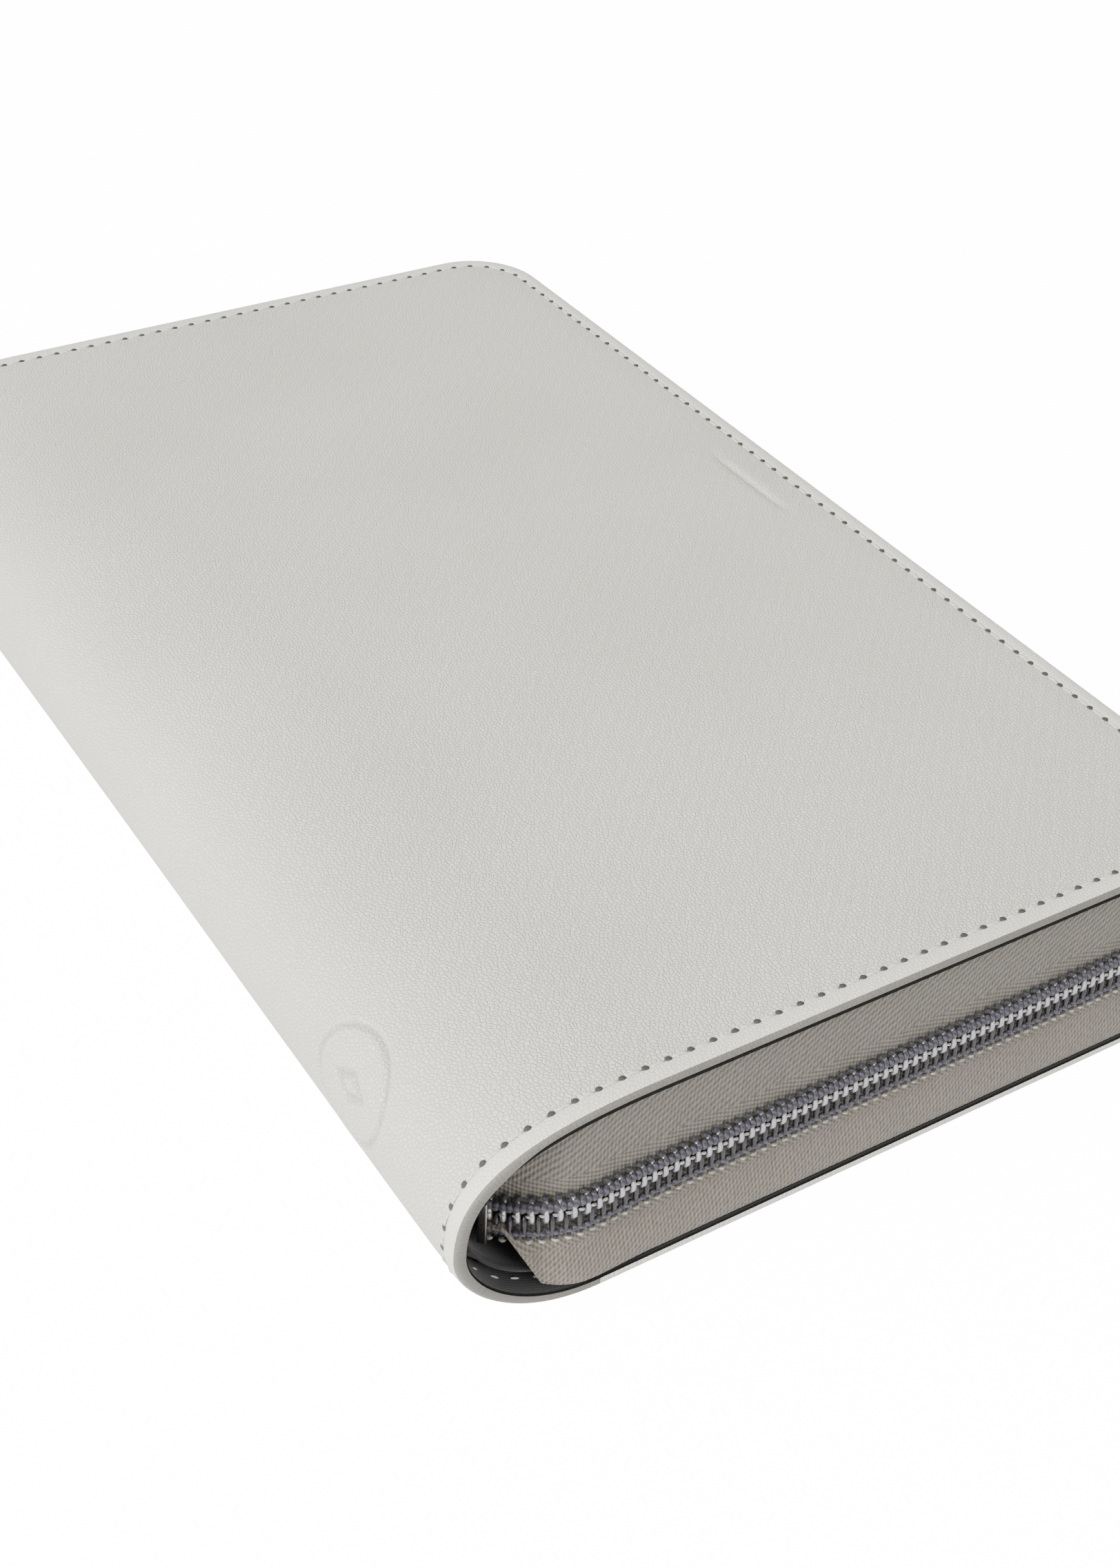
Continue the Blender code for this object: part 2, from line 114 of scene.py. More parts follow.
LINE = wrap_line()
GIRTHS = np.concatenate([[0], np.cumsum(np.linalg.norm(np.diff(LINE, axis=0), axis=1))])
GIRTH = GIRTHS[-1]
NORMALS = np.gradient(LINE, GIRTHS, axis=0)
NORMALS = np.stack([NORMALS[:, 1], -NORMALS[:, 0]], axis=1)
NORMALS[0], NORMALS[1], NORMALS[-2], NORMALS[-1] = (0, 1), (0, 1), (0, -1), (0, -1)
NORMALS /= np.linalg.norm(NORMALS, axis=1)[:, None]
SPINE_GIRTH = (GIRTHS[1], GIRTHS[-2])
MID_SPINE = GIRTHS[CURVE_STEPS + 1]


def on_wrap(girth, y, lift=0.0):
    """Points of the cover at a lift above its outer face, and the outward normals there."""
    girth = np.asarray(girth, float)
    normal = np.stack([np.interp(girth, GIRTHS, NORMALS[:, i]) for i in (0, 1)], -1)
    normal /= np.linalg.norm(normal, axis=-1)[..., None]
    x = np.interp(girth, GIRTHS, LINE[:, 0]) + lift * normal[..., 0]
    z = np.interp(girth, GIRTHS, LINE[:, 1]) + lift * normal[..., 1]
    y = np.broadcast_to(y, girth.shape)
    return np.stack([x, y, z], -1), np.stack([normal[..., 0], 0 * girth, normal[..., 1]], -1)


def rise(value, start, stop):
    """From 0 to 1 in a smooth step."""
    t = np.clip((value - start) / (stop - start), 0, 1)
    return t * t * (3 - 2 * t)


def hump(value, middle, width):
    return np.exp(-(((value - middle) / width) ** 2))


def blind_line(distance, depth, width):
    """A line pressed into the leather, with the leather swollen a little to each side."""
    return -depth * hump(distance, 0, width) + SWELL * hump(distance, 2.2 * width, width)


def wrap_lift(girth, y, inset):
    """How far the leather stands above the flat outer face: the turned edge, the stitched band, the marks."""
    edge = np.clip(1 - inset / ROLL, 0, 1)
    lift = -ROLL * (1 - np.sqrt(1 - edge**2 * ROLL_SHARE))
    lift += PUFF * hump(inset, *PUFF_AT)
    lift -= SEAM_DENT * hump(inset, STITCH_INSET, SEAM_WIDTH)
    lift += CROWN * rise(inset, *CROWN_RISE) * (1 - rise(inset, *CROWN_FALL))
    # Waves of 90 to 220 mm, as soft leather settles over board.
    soft = np.sin(girth * 71 + 1.3) * np.sin(y * 43 + 0.4) + 0.6 * np.sin(girth * 29 - y * 57)
    lift += WAVE * soft * rise(inset, *WAVE_FROM)
    across, along = girth - EMBLEM[0], y - EMBLEM[1]
    away = np.hypot(across, along)
    lift += blind_line(np.abs(away - EMBLEM_RADIUS), *RING_LINE)
    lozenge = np.abs(np.abs(along) / LOZENGE[1] + np.abs(across) / LOZENGE[0] - LOZENGE_UNIT)
    lift += np.where(away < EMBLEM_RADIUS - LOZENGE_CLEAR, blind_line(lozenge, *LOZENGE_LINE), 0)
    ends = rise(y, RULE[0], RULE[0] + RULE_FADE) * (1 - rise(y, RULE[1] - RULE_FADE, RULE[1]))
    lift += np.where(girth < RULE_SIDE, ends * blind_line(np.abs(girth - RULE_INSET), *RULE_LINE), 0)
    return lift


def spread(*stretches):
    """Sample places: (start, stop, step) stretches joined end to end."""
    parts = [np.linspace(a, b, max(1, round((b - a) / s)) + 1)[:-1] for a, b, s in stretches]
    return np.concatenate(parts + [[stretches[-1][1]]])


def rounded_sheet(span, girths, ys, radius, insets, turns=14):
    """Vertices (girth, y, inset) and faces of a rounded rectangle: rings at the insets and a grid inside."""
    low, high, start, stop = span
    verts, grid = [], {}
    for i, s in enumerate(girths):
        for j, y in enumerate(ys):
            grid[i, j] = len(verts)
            verts.append((s, y, min(s - low, high - s, y - start, stop - y)))
    n, m = len(girths) - 1, len(ys) - 1
    border = [grid[i, 0] for i in range(n + 1)] + [grid[n, 0]] * turns
    border += [grid[n, j] for j in range(m + 1)] + [grid[n, m]] * turns
    border += [grid[i, m] for i in range(n, -1, -1)] + [grid[0, m]] * turns
    border += [grid[0, j] for j in range(m, -1, -1)] + [grid[0, 0]] * turns
    quarter = [math.pi / 2 * (k + 1) / (turns + 1) for k in range(turns)]
    corners = ((high, start, -math.pi / 2), (high, stop, 0), (low, stop, math.pi / 2), (low, start, math.pi))
    rings = []
    for inset in insets:
        ring = []
        sides = (
            [(s, start + inset) for s in girths],
            [(high - inset, y) for y in ys],
            [(s, stop - inset) for s in girths[::-1]],
            [(low + inset, y) for y in ys[::-1]],
        )
        reach = radius - inset
        for side, (cs, cy, turn) in zip(sides, corners):
            ring += side
            middle_s = cs - radius if cs == high else cs + radius
            middle_y = cy - radius if cy == stop else cy + radius
            for a in quarter:
                ring.append((middle_s + reach * math.cos(turn + a), middle_y + reach * math.sin(turn + a)))
        rings.append(list(range(len(verts), len(verts) + len(ring))))
        verts += [(s, y, inset) for s, y in ring]
    faces = [
        (grid[i, j], grid[i + 1, j], grid[i + 1, j + 1], grid[i, j + 1]) for i in range(n) for j in range(m)
    ]
    loops = rings + [border]
    for outer, inner in zip(loops, loops[1:]):
        for k in range(len(outer)):
            nxt = (k + 1) % len(outer)
            face = tuple(dict.fromkeys((outer[k], outer[nxt], inner[nxt], inner[k])))
            if len(face) > 2:
                faces.append(face)
    return np.array(verts), faces, rings[0]


def closed_layer(name, span, girths, ys, radius, insets, top, bottom, finishes, outside=None, below_edge=0):
    """A closed sheet on the wrap between two lifts, its face, wall and underside in their own finishes."""
    flat, faces, rim = rounded_sheet(span, girths, ys, radius, insets)
    over, _ = on_wrap(flat[:, 0], flat[:, 1], top(*flat.T))
    below, _ = on_wrap(flat[:, 0], flat[:, 1], bottom(*flat.T))
    count = len(flat)
    under_faces = [tuple(v + count for v in reversed(face)) for face in faces]
    wall = [(rim[k - 1], rim[k - 1] + count, rim[k] + count, rim[k]) for k in range(len(rim))]
    kinds = [outside(*flat[list(face)][:, (0, 2)].mean(0)) if outside else FACE for face in faces]
    kinds += [SHADOW_LIP if below_edge and flat[list(face), 2].mean() < below_edge else UNDER for face in faces]
    kinds += [outside(flat[corner, 0], 0) if outside else WALL for corner in rim]
    verts, uvs = np.vstack([over, below]), np.vstack([flat, flat])[:, :2]
    return solid(name, verts, faces + under_faces + wall, finishes, kinds, uvs)


def in_scene(name, data):
    piece = bpy.data.objects.new(name, data)
    bpy.context.scene.collection.objects.link(piece)
    return piece


def solid(name, verts, faces, finishes, kinds=None, uvs=None, smooth=True):
    """A mesh piece at the origin with its finishes, normals outwards, and a UV map in metres where given."""
    mesh = bpy.data.meshes.new(name)
    mesh.from_pydata([tuple(map(float, v)) for v in verts], [], faces)
    for finish in finishes:
        mesh.materials.append(finish)
    if kinds is not None:
        mesh.polygons.foreach_set("material_index", kinds)
    if uvs is not None:
        layer = mesh.uv_layers.new(name="surface")
        picked = np.zeros(len(mesh.loops), int)
        mesh.loops.foreach_get("vertex_index", picked)
        layer.data.foreach_set("uv", np.asarray(uvs, np.float32)[picked].ravel())
    piece = in_scene(name, mesh)
    tidy_normals(mesh)
    mesh.polygons.foreach_set("use_smooth", [smooth] * len(mesh.polygons))
    return piece


def tidy_normals(mesh):
    work = bmesh.new()
    work.from_mesh(mesh)
    bmesh.ops.remove_doubles(work, verts=work.verts, dist=1e-7)
    bmesh.ops.recalc_face_normals(work, faces=work.faces)
    work.to_mesh(mesh)
    work.free()


def ink(code):
    """An sRGB hex colour as the linear values that a socket takes."""
    parts = [int(code[i : i + 2], 16) / 255 for i in (1, 3, 5)]
    return (*(c / 12.92 if c <= 0.04045 else ((c + 0.055) / 1.055) ** 2.4 for c in parts), 1)


def plug(tree, node, given):
    """Words in small letters are the node's settings; the rest are sockets, as values or a (node, output)."""
    for key, value in given.items():
        if key[0].islower():
            setattr(node, key, value)
            continue
        socket = node.inputs[int(key[1:])] if key[1:].isdigit() else node.inputs[key.replace("_", " ")]
        if isinstance(value, tuple) and hasattr(value[0], "outputs"):
            tree.links.new(value[0].outputs[value[1]], socket)
        else:
            socket.default_value = value


def add(tree, kind, **given):
    """One node with its settings and links; a bare kind is a shader node."""
    node = tree.nodes.new(kind if "Node" in kind else "ShaderNode" + kind)
    plug(tree, node, given)
    return node


def dress(tree, **given):
    """Values and links for the finish's own shader."""
    plug(tree, tree.nodes["Principled BSDF"], given)


def new_finish(name, **given):
    finish = bpy.data.materials.new(name)
    finish.use_nodes = True
    dress(finish.node_tree, **given)
    return finish, finish.node_tree


def relief(tree, pattern, low, high, strength, depth):
    """A pattern's low places in one colour and its high places in another, raised by the same pattern."""
    tone = add(tree, "Mix", data_type="RGBA", _0=pattern, _6=ink(low), _7=ink(high))
    bump = add(tree, "Bump", Height=pattern, Strength=strength, Distance=depth)
    dress(tree, Base_Color=(tone, 2), Normal=(bump, 0))


def bonded_leather(name, face, shade, grain=0.55, tooled=False):
    """Bonded leather, embossed with a fine cross-hatched grain of about 0.5 mm and given a satin topcoat."""
    finish, tree = new_finish(
        name, Roughness=0.52, Sheen_Weight=0.12, Sheen_Roughness=0.5, Specular_IOR_Level=0.42
    )
    place = add(tree, "TexCoord")
    flat = (place, 2)
    warp = add(tree, "TexNoise", noise_dimensions="2D", Vector=flat, Scale=420.0, Detail=2.0)
    sway = (0.6 * MM,) * 3
    bent = add(tree, "VectorMath", operation="MULTIPLY_ADD", _0=(warp, 1), _1=sway, _2=flat)
    cells = add(
        tree, "TexVoronoi", voronoi_dimensions="2D", feature="DISTANCE_TO_EDGE",
        Vector=(bent, 0), Scale=1900.0,
    )
    creases = add(tree, "MapRange", Value=(cells, 0), From_Max=0.22)
    hatch = add(
        tree, "TexWave", wave_type="BANDS", bands_direction="DIAGONAL",
        Vector=(bent, 0), Scale=260.0, Distortion=3.0, Detail=2.0,
    )
    height = add(tree, "Math", operation="MULTIPLY_ADD", _0=(hatch, 1), _1=0.35, _2=(creases, 0))
    bump = add(tree, "Bump", Height=(height, 0), Strength=grain, Distance=0.3 * MM)
    broad = add(tree, "TexNoise", noise_dimensions="2D", Vector=flat, Scale=24.0, Detail=3.0)
    level = add(tree, "MapRange", Value=(broad, 0), From_Min=0.35, From_Max=0.65)
    tone = add(tree, "Mix", data_type="RGBA", _0=(level, 0), _6=ink(face), _7=ink(shade))
    pit = add(tree, "MapRange", Value=(cells, 0), From_Max=0.09, To_Min=0.0, To_Max=1.0)
    dark = tuple(c * 0.86 for c in ink(shade)[:3]) + (1,)
    colour = add(tree, "Mix", data_type="RGBA", _0=(pit, 0), _6=dark, _7=(tone, 2))
    # Along the ring and lozenge on the spine the leather is drawn darker: painted shade in the pressed
    # grooves.
    if tooled:
        lines = (painted_groove_shade(tree, flat), 0)
        colour = add(tree, "Mix", data_type="RGBA", _0=lines, _6=(colour, 2), _7=ink("#A9A79C"))
    dress(tree, Base_Color=(colour, 2), Normal=(bump, 0))
    return finish


def painted_groove_shade(tree, flat):
    """How much darker the leather is drawn along the ring and the lozenge of the mark on the spine: painted
    shade in the pressed grooves.
    """
    middle = (*EMBLEM, 0)
    slopes = (1 / LOZENGE[0], 1 / LOZENGE[1], 0)
    away = add(tree, "VectorMath", operation="DISTANCE", _0=flat, _1=middle)
    ring = add(tree, "Math", operation="SUBTRACT", _0=(away, 1), _1=EMBLEM_RADIUS)
    off = add(tree, "VectorMath", operation="SUBTRACT", _0=flat, _1=middle)
    size = add(tree, "VectorMath", operation="ABSOLUTE", _0=(off, 0))
    slant = add(tree, "VectorMath", operation="DOT_PRODUCT", _0=(size, 0), _1=slopes)
    lozenge = add(tree, "Math", operation="SUBTRACT", _0=(slant, 1), _1=LOZENGE_UNIT)
    lines = []
    for line in (ring, lozenge):
        distance = add(tree, "Math", operation="ABSOLUTE", _0=(line, 0))
        dark = add(tree, "MapRange", Value=(distance, 0), From_Max=0.55 * MM, To_Min=0.9, To_Max=0.0)
        lines.append(dark)
    return add(tree, "Math", operation="MAXIMUM", _0=(lines[0], 0), _1=(lines[1], 0))


def shadow_line_finish():
    """A near-black matt finish, mottled a little, for the lip under the turned edge: a painted shadow line.
    """
    finish, tree = new_finish("near-black lip, painted shadow line", Roughness=1.0, Specular_IOR_Level=0.1)
    place = add(tree, "TexCoord")
    fray = add(tree, "TexNoise", Vector=(place, 3), Scale=1400.0, Detail=2.0)
    tone = add(tree, "Mix", data_type="RGBA", _0=(fray, 0), _6=ink("#050505"), _7=ink("#22211F"))
    dress(tree, Base_Color=(tone, 2))
    return finish


def woven_lining():
    """Near-black polyester lining in a plain weave of 0.4 mm, slightly lustrous."""
    finish, tree = new_finish("woven lining", Roughness=0.75, Sheen_Weight=0.2)
    place = add(tree, "TexCoord")
    warp, weft = (
        add(tree, "TexWave", bands_direction=way, Vector=(place, 2), Scale=780.0) for way in "XY"
    )
    weave = add(tree, "Math", operation="MULTIPLY", _0=(warp, 1), _1=(weft, 1))
    relief(tree, (weave, 0), "#0B0B0C", "#1B1B1D", 0.5, 0.1 * MM)
    return finish


leather = bonded_leather("bonded leather, fine grain", "#D5D3C6", "#CDCBBE", tooled=True)
# A paler copy of the leather for the band outside the stitches and for the back's edge face: painted
# highlight where the rolled edge catches the light.
highlight_band_leather = bonded_leather("bonded leather, painted highlight on the turned band", "#E2E0D4", "#DBD9CD", 0.35)
# A dark copy of the leather for the front's edge face and its outermost ring: painted shade on the edge.
edge_shade_leather = bonded_leather("turned edge, painted shade", "#716E68", "#66635D", 0.15)
lining_cloth = woven_lining()
shadow_lip_finish = shadow_line_finish()
FACE, WALL, UNDER, HIGHLIGHT_BAND, SHADOW_LIP = range(5)
WRAP_FINISHES = (leather, edge_shade_leather, lining_cloth, highlight_band_leather, shadow_lip_finish)

EDGE_DROP = 0.12 * MM
# The near-black lip under the turned edge, a painted shadow line: its drop on the front's flat, how much less
# it drops round the spine and on the back, and how far in it reaches.
LIP, LIP_LESS, LIP_DEPTH = 0.85 * MM, 0.65 * MM, 0.15 * MM
FRONT_OF_FLAT = (SPINE_GIRTH[0] + 14 * MM, SPINE_GIRTH[0] + 22 * MM)
BACK_FLAT = (SPINE_GIRTH[1] - 6 * MM, SPINE_GIRTH[1] + 4 * MM)
# How far in, and how far round, the front's edge is painted dark as shade.
EDGE_SHADE_INSET, EDGE_SHADE_TO = 0.42 * MM, SPINE_GIRTH[1] + 2 * MM
# How far in from the edge the leather is painted paler as highlight.
HIGHLIGHT_BAND_WIDTH = 2.5 * MM


def wrap_under(girth, y, inset):
    """The inside of the turned edge. Along the front's flat a near-black lip stands down from it as a painted
    shadow line.
    """
    back = rise(girth, *BACK_FLAT)
    round_spine = rise(girth, *FRONT_OF_FLAT) * (1 - back)
    lip = LIP - LIP_LESS * round_spine - LIP_LESS * back
    turned = -RIM - EDGE_DROP + lip * (1 - rise(inset, 0, LIP_DEPTH))
    return np.where(inset < RIM_WIDTH + 0.01 * MM, turned, -SKIN)


def wrap_face(girth, inset):
    """The finish outside: painted shade at the front's very edge, a paler painted highlight over the turned
    band and the back's edge, then the open leather.
    """
    if inset < EDGE_SHADE_INSET and girth < EDGE_SHADE_TO:
        return WALL
    return HIGHLIGHT_BAND if inset < HIGHLIGHT_BAND_WIDTH else FACE


def across_spine(piece):
    """The piece's placement is baked into its mesh."""
    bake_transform(piece)


# Rings of the mesh, in mm from the edge: close at the rolled edge, at the stitches and at the rule.
EDGE_RINGS = [0, 0.08, 0.2, 0.4, 0.7, 1.1, 1.5, 1.9]
SEAM_RINGS = [2.2, 2.45, 2.6, 2.7, 2.8, 2.95, 3.2, 3.6, 4.3, 5.0, 5.2, 6.5]
RULE_RINGS = [7.2, 7.6, 7.9, 8.15, 8.35, 8.5, 8.65, 8.85, 9.1, 9.5, 10.5]
MARK_HALF = EMBLEM_RADIUS + 1.5 * MM
wrap = closed_layer(
    "wrap_cover",
    (0, GIRTH, TAIL, HEAD),
    spread(
        (CORNER, SPINE_GIRTH[0], 2.4 * MM),
        (SPINE_GIRTH[0], EMBLEM[0] - MARK_HALF, 0.8 * MM),
        (EMBLEM[0] - MARK_HALF, EMBLEM[0] + MARK_HALF, 0.3 * MM),
        (EMBLEM[0] + MARK_HALF, SPINE_GIRTH[1], 0.8 * MM),
        (SPINE_GIRTH[1], GIRTH - CORNER, 3 * MM),
    ),
    spread(
        (TAIL + CORNER, EMBLEM[1] - MARK_HALF, 1 * MM),
        (EMBLEM[1] - MARK_HALF, EMBLEM[1] + MARK_HALF, 0.3 * MM),
        (EMBLEM[1] + MARK_HALF, HEAD - CORNER, 2 * MM),
    ),
    CORNER,
    [v * MM for v in EDGE_RINGS + SEAM_RINGS + RULE_RINGS],
    wrap_lift,
    wrap_under,
    WRAP_FINISHES,
    wrap_face,
    LIP_DEPTH,
)
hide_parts("front_cover_skin", "back_cover_skin")
across_spine(wrap)

# ---------------------------------------------------------------- topstitching
# A lockstitch of leather-coloured thread runs round the whole cover, 3 mm to the stitch. The thread is
# drawn well down, so what shows is a row of needle holes, drawn as small dark domes of painted shade.
# Inside, the bobbin thread shows on the black lining where the ends of the spine stand open.
THREAD = 0.34 * MM
# One stitch: along and up in mm, and its radius there in threads.
STITCH = ((-1, -0.12, 0.5), (-0.6, 0.05, 0.55), (0, 0.1, 0.6), (0.6, 0.05, 0.55), (1, -0.12, 0.5))
HOLE = (0.48 * MM, 0.48 * MM, 0.12 * MM)
HOLE_LIFT = 0.11 * MM
BOBBIN_PITCH = 3.3 * MM
BOBBIN_FROM, BOBBIN_TO = SPINE_GIRTH[0] + 6 * MM, SPINE_GIRTH[1] + 2 * MM


def instancer():
    """Geometry Nodes that set one shape along an edge path at a pitch, turned by its direction and 'out'."""
    tree = bpy.data.node_groups.new("row along a path", "GeometryNodeTree")
    for name, kind in (("Path", "Geometry"), ("Shape", "Object"), ("Pitch", "Float"), ("Turn", "Float"),
                       ("Seed", "Int"), ("Finish", "Material")):
        tree.interface.new_socket(name, in_out="INPUT", socket_type="NodeSocket" + kind)
    tree.interface.new_socket("Row", in_out="OUTPUT", socket_type="NodeSocketGeometry")
    entry = add(tree, "NodeGroupInput")
    curve = add(tree, "GeometryNodeMeshToCurve", Mesh=(entry, "Path"))
    even = add(tree, "GeometryNodeResampleCurve", mode="LENGTH", Curve=(curve, 0), Length=(entry, "Pitch"))
    shape = add(tree, "GeometryNodeObjectInfo", Object=(entry, "Shape"))
    ahead = add(tree, "GeometryNodeInputTangent")
    out = add(tree, "GeometryNodeInputNamedAttribute", data_type="FLOAT_VECTOR", Name="out")
    facing = add(
        tree, "FunctionNodeAxesToRotation", primary_axis="X", secondary_axis="Z", _0=(ahead, 0), _1=(out, 0)
    )
    chance = add(tree, "FunctionNodeRandomValue", data_type="FLOAT", _2=-1.0, _3=1.0, Seed=(entry, "Seed"))
    swing = add(tree, "Math", operation="MULTIPLY", _0=(chance, 1), _1=(entry, "Turn"))
    about = add(tree, "CombineXYZ", Z=(swing, 0))
    jitter = add(tree, "FunctionNodeEulerToRotation", Euler=(about, 0))
    turned = add(
        tree, "FunctionNodeRotateRotation", rotation_space="LOCAL",
        Rotation=(facing, 0), Rotate_By=(jitter, 0),
    )
    copies = add(
        tree, "GeometryNodeInstanceOnPoints",
        Points=(even, 0), Instance=(shape, "Geometry"), Rotation=(turned, 0),
    )
    real = add(tree, "GeometryNodeRealizeInstances", Geometry=(copies, 0))
    done = add(tree, "GeometryNodeSetMaterial", Geometry=(real, 0), Material=(entry, "Finish"))
    add(tree, "NodeGroupOutput", _0=(done, 0))
    return tree


ROW = instancer()


def settle(piece, modifier):
    """The piece's mesh becomes what its modifier makes of it, and the modifier goes."""
    made = bpy.data.meshes.new_from_object(piece.evaluated_get(bpy.context.evaluated_depsgraph_get()))
    piece.modifiers.remove(modifier)
    piece.data = made
    return made


def row(name, runs, shape, pitch, finish, turn=0.0, seed=1, closed=False):
    """One mesh of copies of a shape, (vertices, faces), along each run of (points, outward directions)."""
    mould = bpy.data.meshes.new(name + "_one")
    mould.from_pydata(shape[0], [], shape[1])
    mould.polygons.foreach_set("use_smooth", [True] * len(mould.polygons))
    one = bpy.data.objects.new(name + "_one", mould)
    points, outs, edges = [], [], []
    for run, out in runs:
        first = len(points)
        points += [tuple(p) for p in run]
        outs += [tuple(o) for o in out]
        edges += [(i, i + 1) for i in range(first, len(points) - 1)]
        if closed:
            edges.append((len(points) - 1, first))
    path = bpy.data.meshes.new(name)
    path.from_pydata(points, edges, [])
    outward = path.attributes.new("out", "FLOAT_VECTOR", "POINT")
    outward.data.foreach_set("vector", np.array(outs, np.float32).ravel())
    guide = in_scene(name, path)
    nodes = guide.modifiers.new("row", "NODES")
    nodes.node_group = ROW
    given = {"Shape": one, "Pitch": pitch, "Turn": turn, "Seed": seed, "Finish": finish}
    for item in ROW.interface.items_tree:
        if item.in_out == "INPUT" and item.name in given:
            nodes[item.identifier] = given[item.name]
    guide.update_tag()
    made = settle(guide, nodes)
    made.name = name
    left_over = made.attributes.get("out")
    if left_over is not None:
        made.attributes.remove(left_over)
    bpy.data.objects.remove(one)
    return guide


def ring_faces(first, second, sides):
    """The faces between two rings of vertices, given by where each ring starts."""
    return [(first + k, first + (k + 1) % sides, second + (k + 1) % sides, second + k) for k in range(sides)]


def tube(points, radii, sides=6):
    """A closed round bar through points in the shape's own plane, as (vertices, faces)."""
    points = [Vector(p) for p in points]
    verts, faces = [], []
    for i, point in enumerate(points):
        ahead = (points[min(i + 1, len(points) - 1)] - points[max(i - 1, 0)]).normalized()
        side = Vector((1, 0, 0)) if abs(ahead.x) < 0.7 else Vector((0, 1, 0))
        up = ahead.cross(side).normalized()
        side = up.cross(ahead)
        for k in range(sides):
            a = 2 * math.pi * k / sides
            verts.append(tuple(point + radii[i] * (math.cos(a) * side + math.sin(a) * up)))
    for i in range(len(points) - 1):
        faces += ring_faces(i * sides, (i + 1) * sides, sides)
    faces += [tuple(range(sides))[::-1], tuple(len(verts) - sides + k for k in range(sides))]
    return verts, faces


def bead(length, width, height, sides=8, lift=0.0):
    """A low oval dome with a flat foot, as (vertices, faces)."""
    verts = []
    for level, share in ((-0.4, 1.0), (0.45, 0.82), (0.85, 0.45)):
        for k in range(sides):
            a = 2 * math.pi * k / sides
            verts.append((length * share * math.cos(a), width * share * math.sin(a), lift + height * level))
    verts.append((0, 0, lift + height))
    faces = ring_faces(0, sides, sides) + ring_faces(sides, 2 * sides, sides)
    faces += [(2 * sides + k, 2 * sides + (k + 1) % sides, 3 * sides) for k in range(sides)]
    faces.append(tuple(range(sides))[::-1])
    return verts, faces


def plain_thread(name, light, dark, twist=0.5 * MM):
    """Twisted polyester sewing thread: a slanted ply line every half millimetre and a soft lustre."""
    finish, tree = new_finish(name, Roughness=0.6, Sheen_Weight=0.15)
    place = add(tree, "TexCoord")
    ply = add(tree, "TexWave", bands_direction="DIAGONAL", Vector=(place, 3), Scale=0.3 / twist)
    relief(tree, (ply, 1), dark, light, 0.4, 0.08 * MM)
    return finish


def sewn_loop(inset, step):
    """(girth, y) round the cover at an inset from its edge, as a closed loop."""
    radius = CORNER - inset
    turn = np.linspace(0, math.pi / 2, 9)[1:-1]
    left, right, near, far = CORNER, GIRTH - CORNER, TAIL + CORNER, HEAD - CORNER
    sides = [
        [(g, TAIL + inset) for g in spread((left, right, step))],
        [(right + radius * math.sin(a), near - radius * math.cos(a)) for a in turn],
        [(GIRTH - inset, y) for y in spread((near, far, step))],
        [(right + radius * math.cos(a), far + radius * math.sin(a)) for a in turn],
        [(g, HEAD - inset) for g in spread((left, right, step))[::-1]],
        [(left - radius * math.sin(a), far + radius * math.cos(a)) for a in turn],
        [(inset, y) for y in spread((near, far, step))[::-1]],
        [(left - radius * math.cos(a), near - radius * math.sin(a)) for a in turn],
    ]
    return np.array([p for side in sides for p in side])


cover_thread = plain_thread("cover thread, twisted polyester", "#D6D4CE", "#C2BFB8")
# The needle holes are small dark domes: painted shade in the holes.
needle_hole_shade, _ = new_finish("needle hole, painted shade", Base_Color=ink("#3C3B37"), Roughness=0.95)
loop = sewn_loop(STITCH_INSET, 0.75 * MM)
base = wrap_lift(loop[:, 0], loop[:, 1], np.full(len(loop), STITCH_INSET))
seam = [on_wrap(loop[:, 0], loop[:, 1], base)]
arch = [(x * MM + STITCH_PITCH / 2, 0, z * MM) for x, z, _ in STITCH]
stitch = tube(arch, [THREAD * radius for _, _, radius in STITCH])
topstitch = row("topstitch", seam, stitch, STITCH_PITCH, cover_thread, 0.05, 3, closed=True)
hole = bead(*HOLE, lift=HOLE_LIFT)
holes = row("needle_holes", seam, hole, STITCH_PITCH, needle_hole_shade, 0.7, 5, closed=True)
inside = []
for y in (TAIL + STITCH_INSET, HEAD - STITCH_INSET):
    points, out = on_wrap(spread((BOBBIN_FROM, BOBBIN_TO, 0.8 * MM)), y, -RIM)
    inside.append((points, -out))
bobbin = row("bobbin_stitch", inside, stitch, BOBBIN_PITCH, cover_thread, 0.2, 7)
for piece in (topstitch, holes, bobbin):
    across_spine(piece)

# ---------------------------------------------------------------- spine stiffener, boards and lining
# Grey board lines both covers and a thinner, flexible one the spine. A near-black woven lining is glued
# over them, in one piece from fore edge to fore edge, and shows where the ends of the spine stand open.
BOARD_LEVEL = 1.0 * MM
BOARD_THICK = 1.4 * MM
LINING_LEVEL = 2.7 * MM
LINING_THICK = 0.5 * MM
LINING_INSET = 2.6 * MM
LINING_STEP = 8 * MM


def grey_board():
    """Grey pressed pulp board with short fibres about 1 mm long."""
    finish, tree = new_finish("grey board, pressed pulp", Roughness=0.9)
    place = add(tree, "TexCoord")
    fibre = add(tree, "TexNoise", Vector=(place, 3), Scale=900.0, Detail=5.0)
    relief(tree, (fibre, 0), "#7D756A", "#A1988A", 0.3, 0.1 * MM)
    return finish


def constant(level):
    return lambda girth, y, inset: np.full(np.shape(girth), level)


def refinish(node, finish):
    """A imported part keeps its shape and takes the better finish."""
    slots = frame["nodes"][node].data.materials
    slots.clear()
    slots.append(finish)


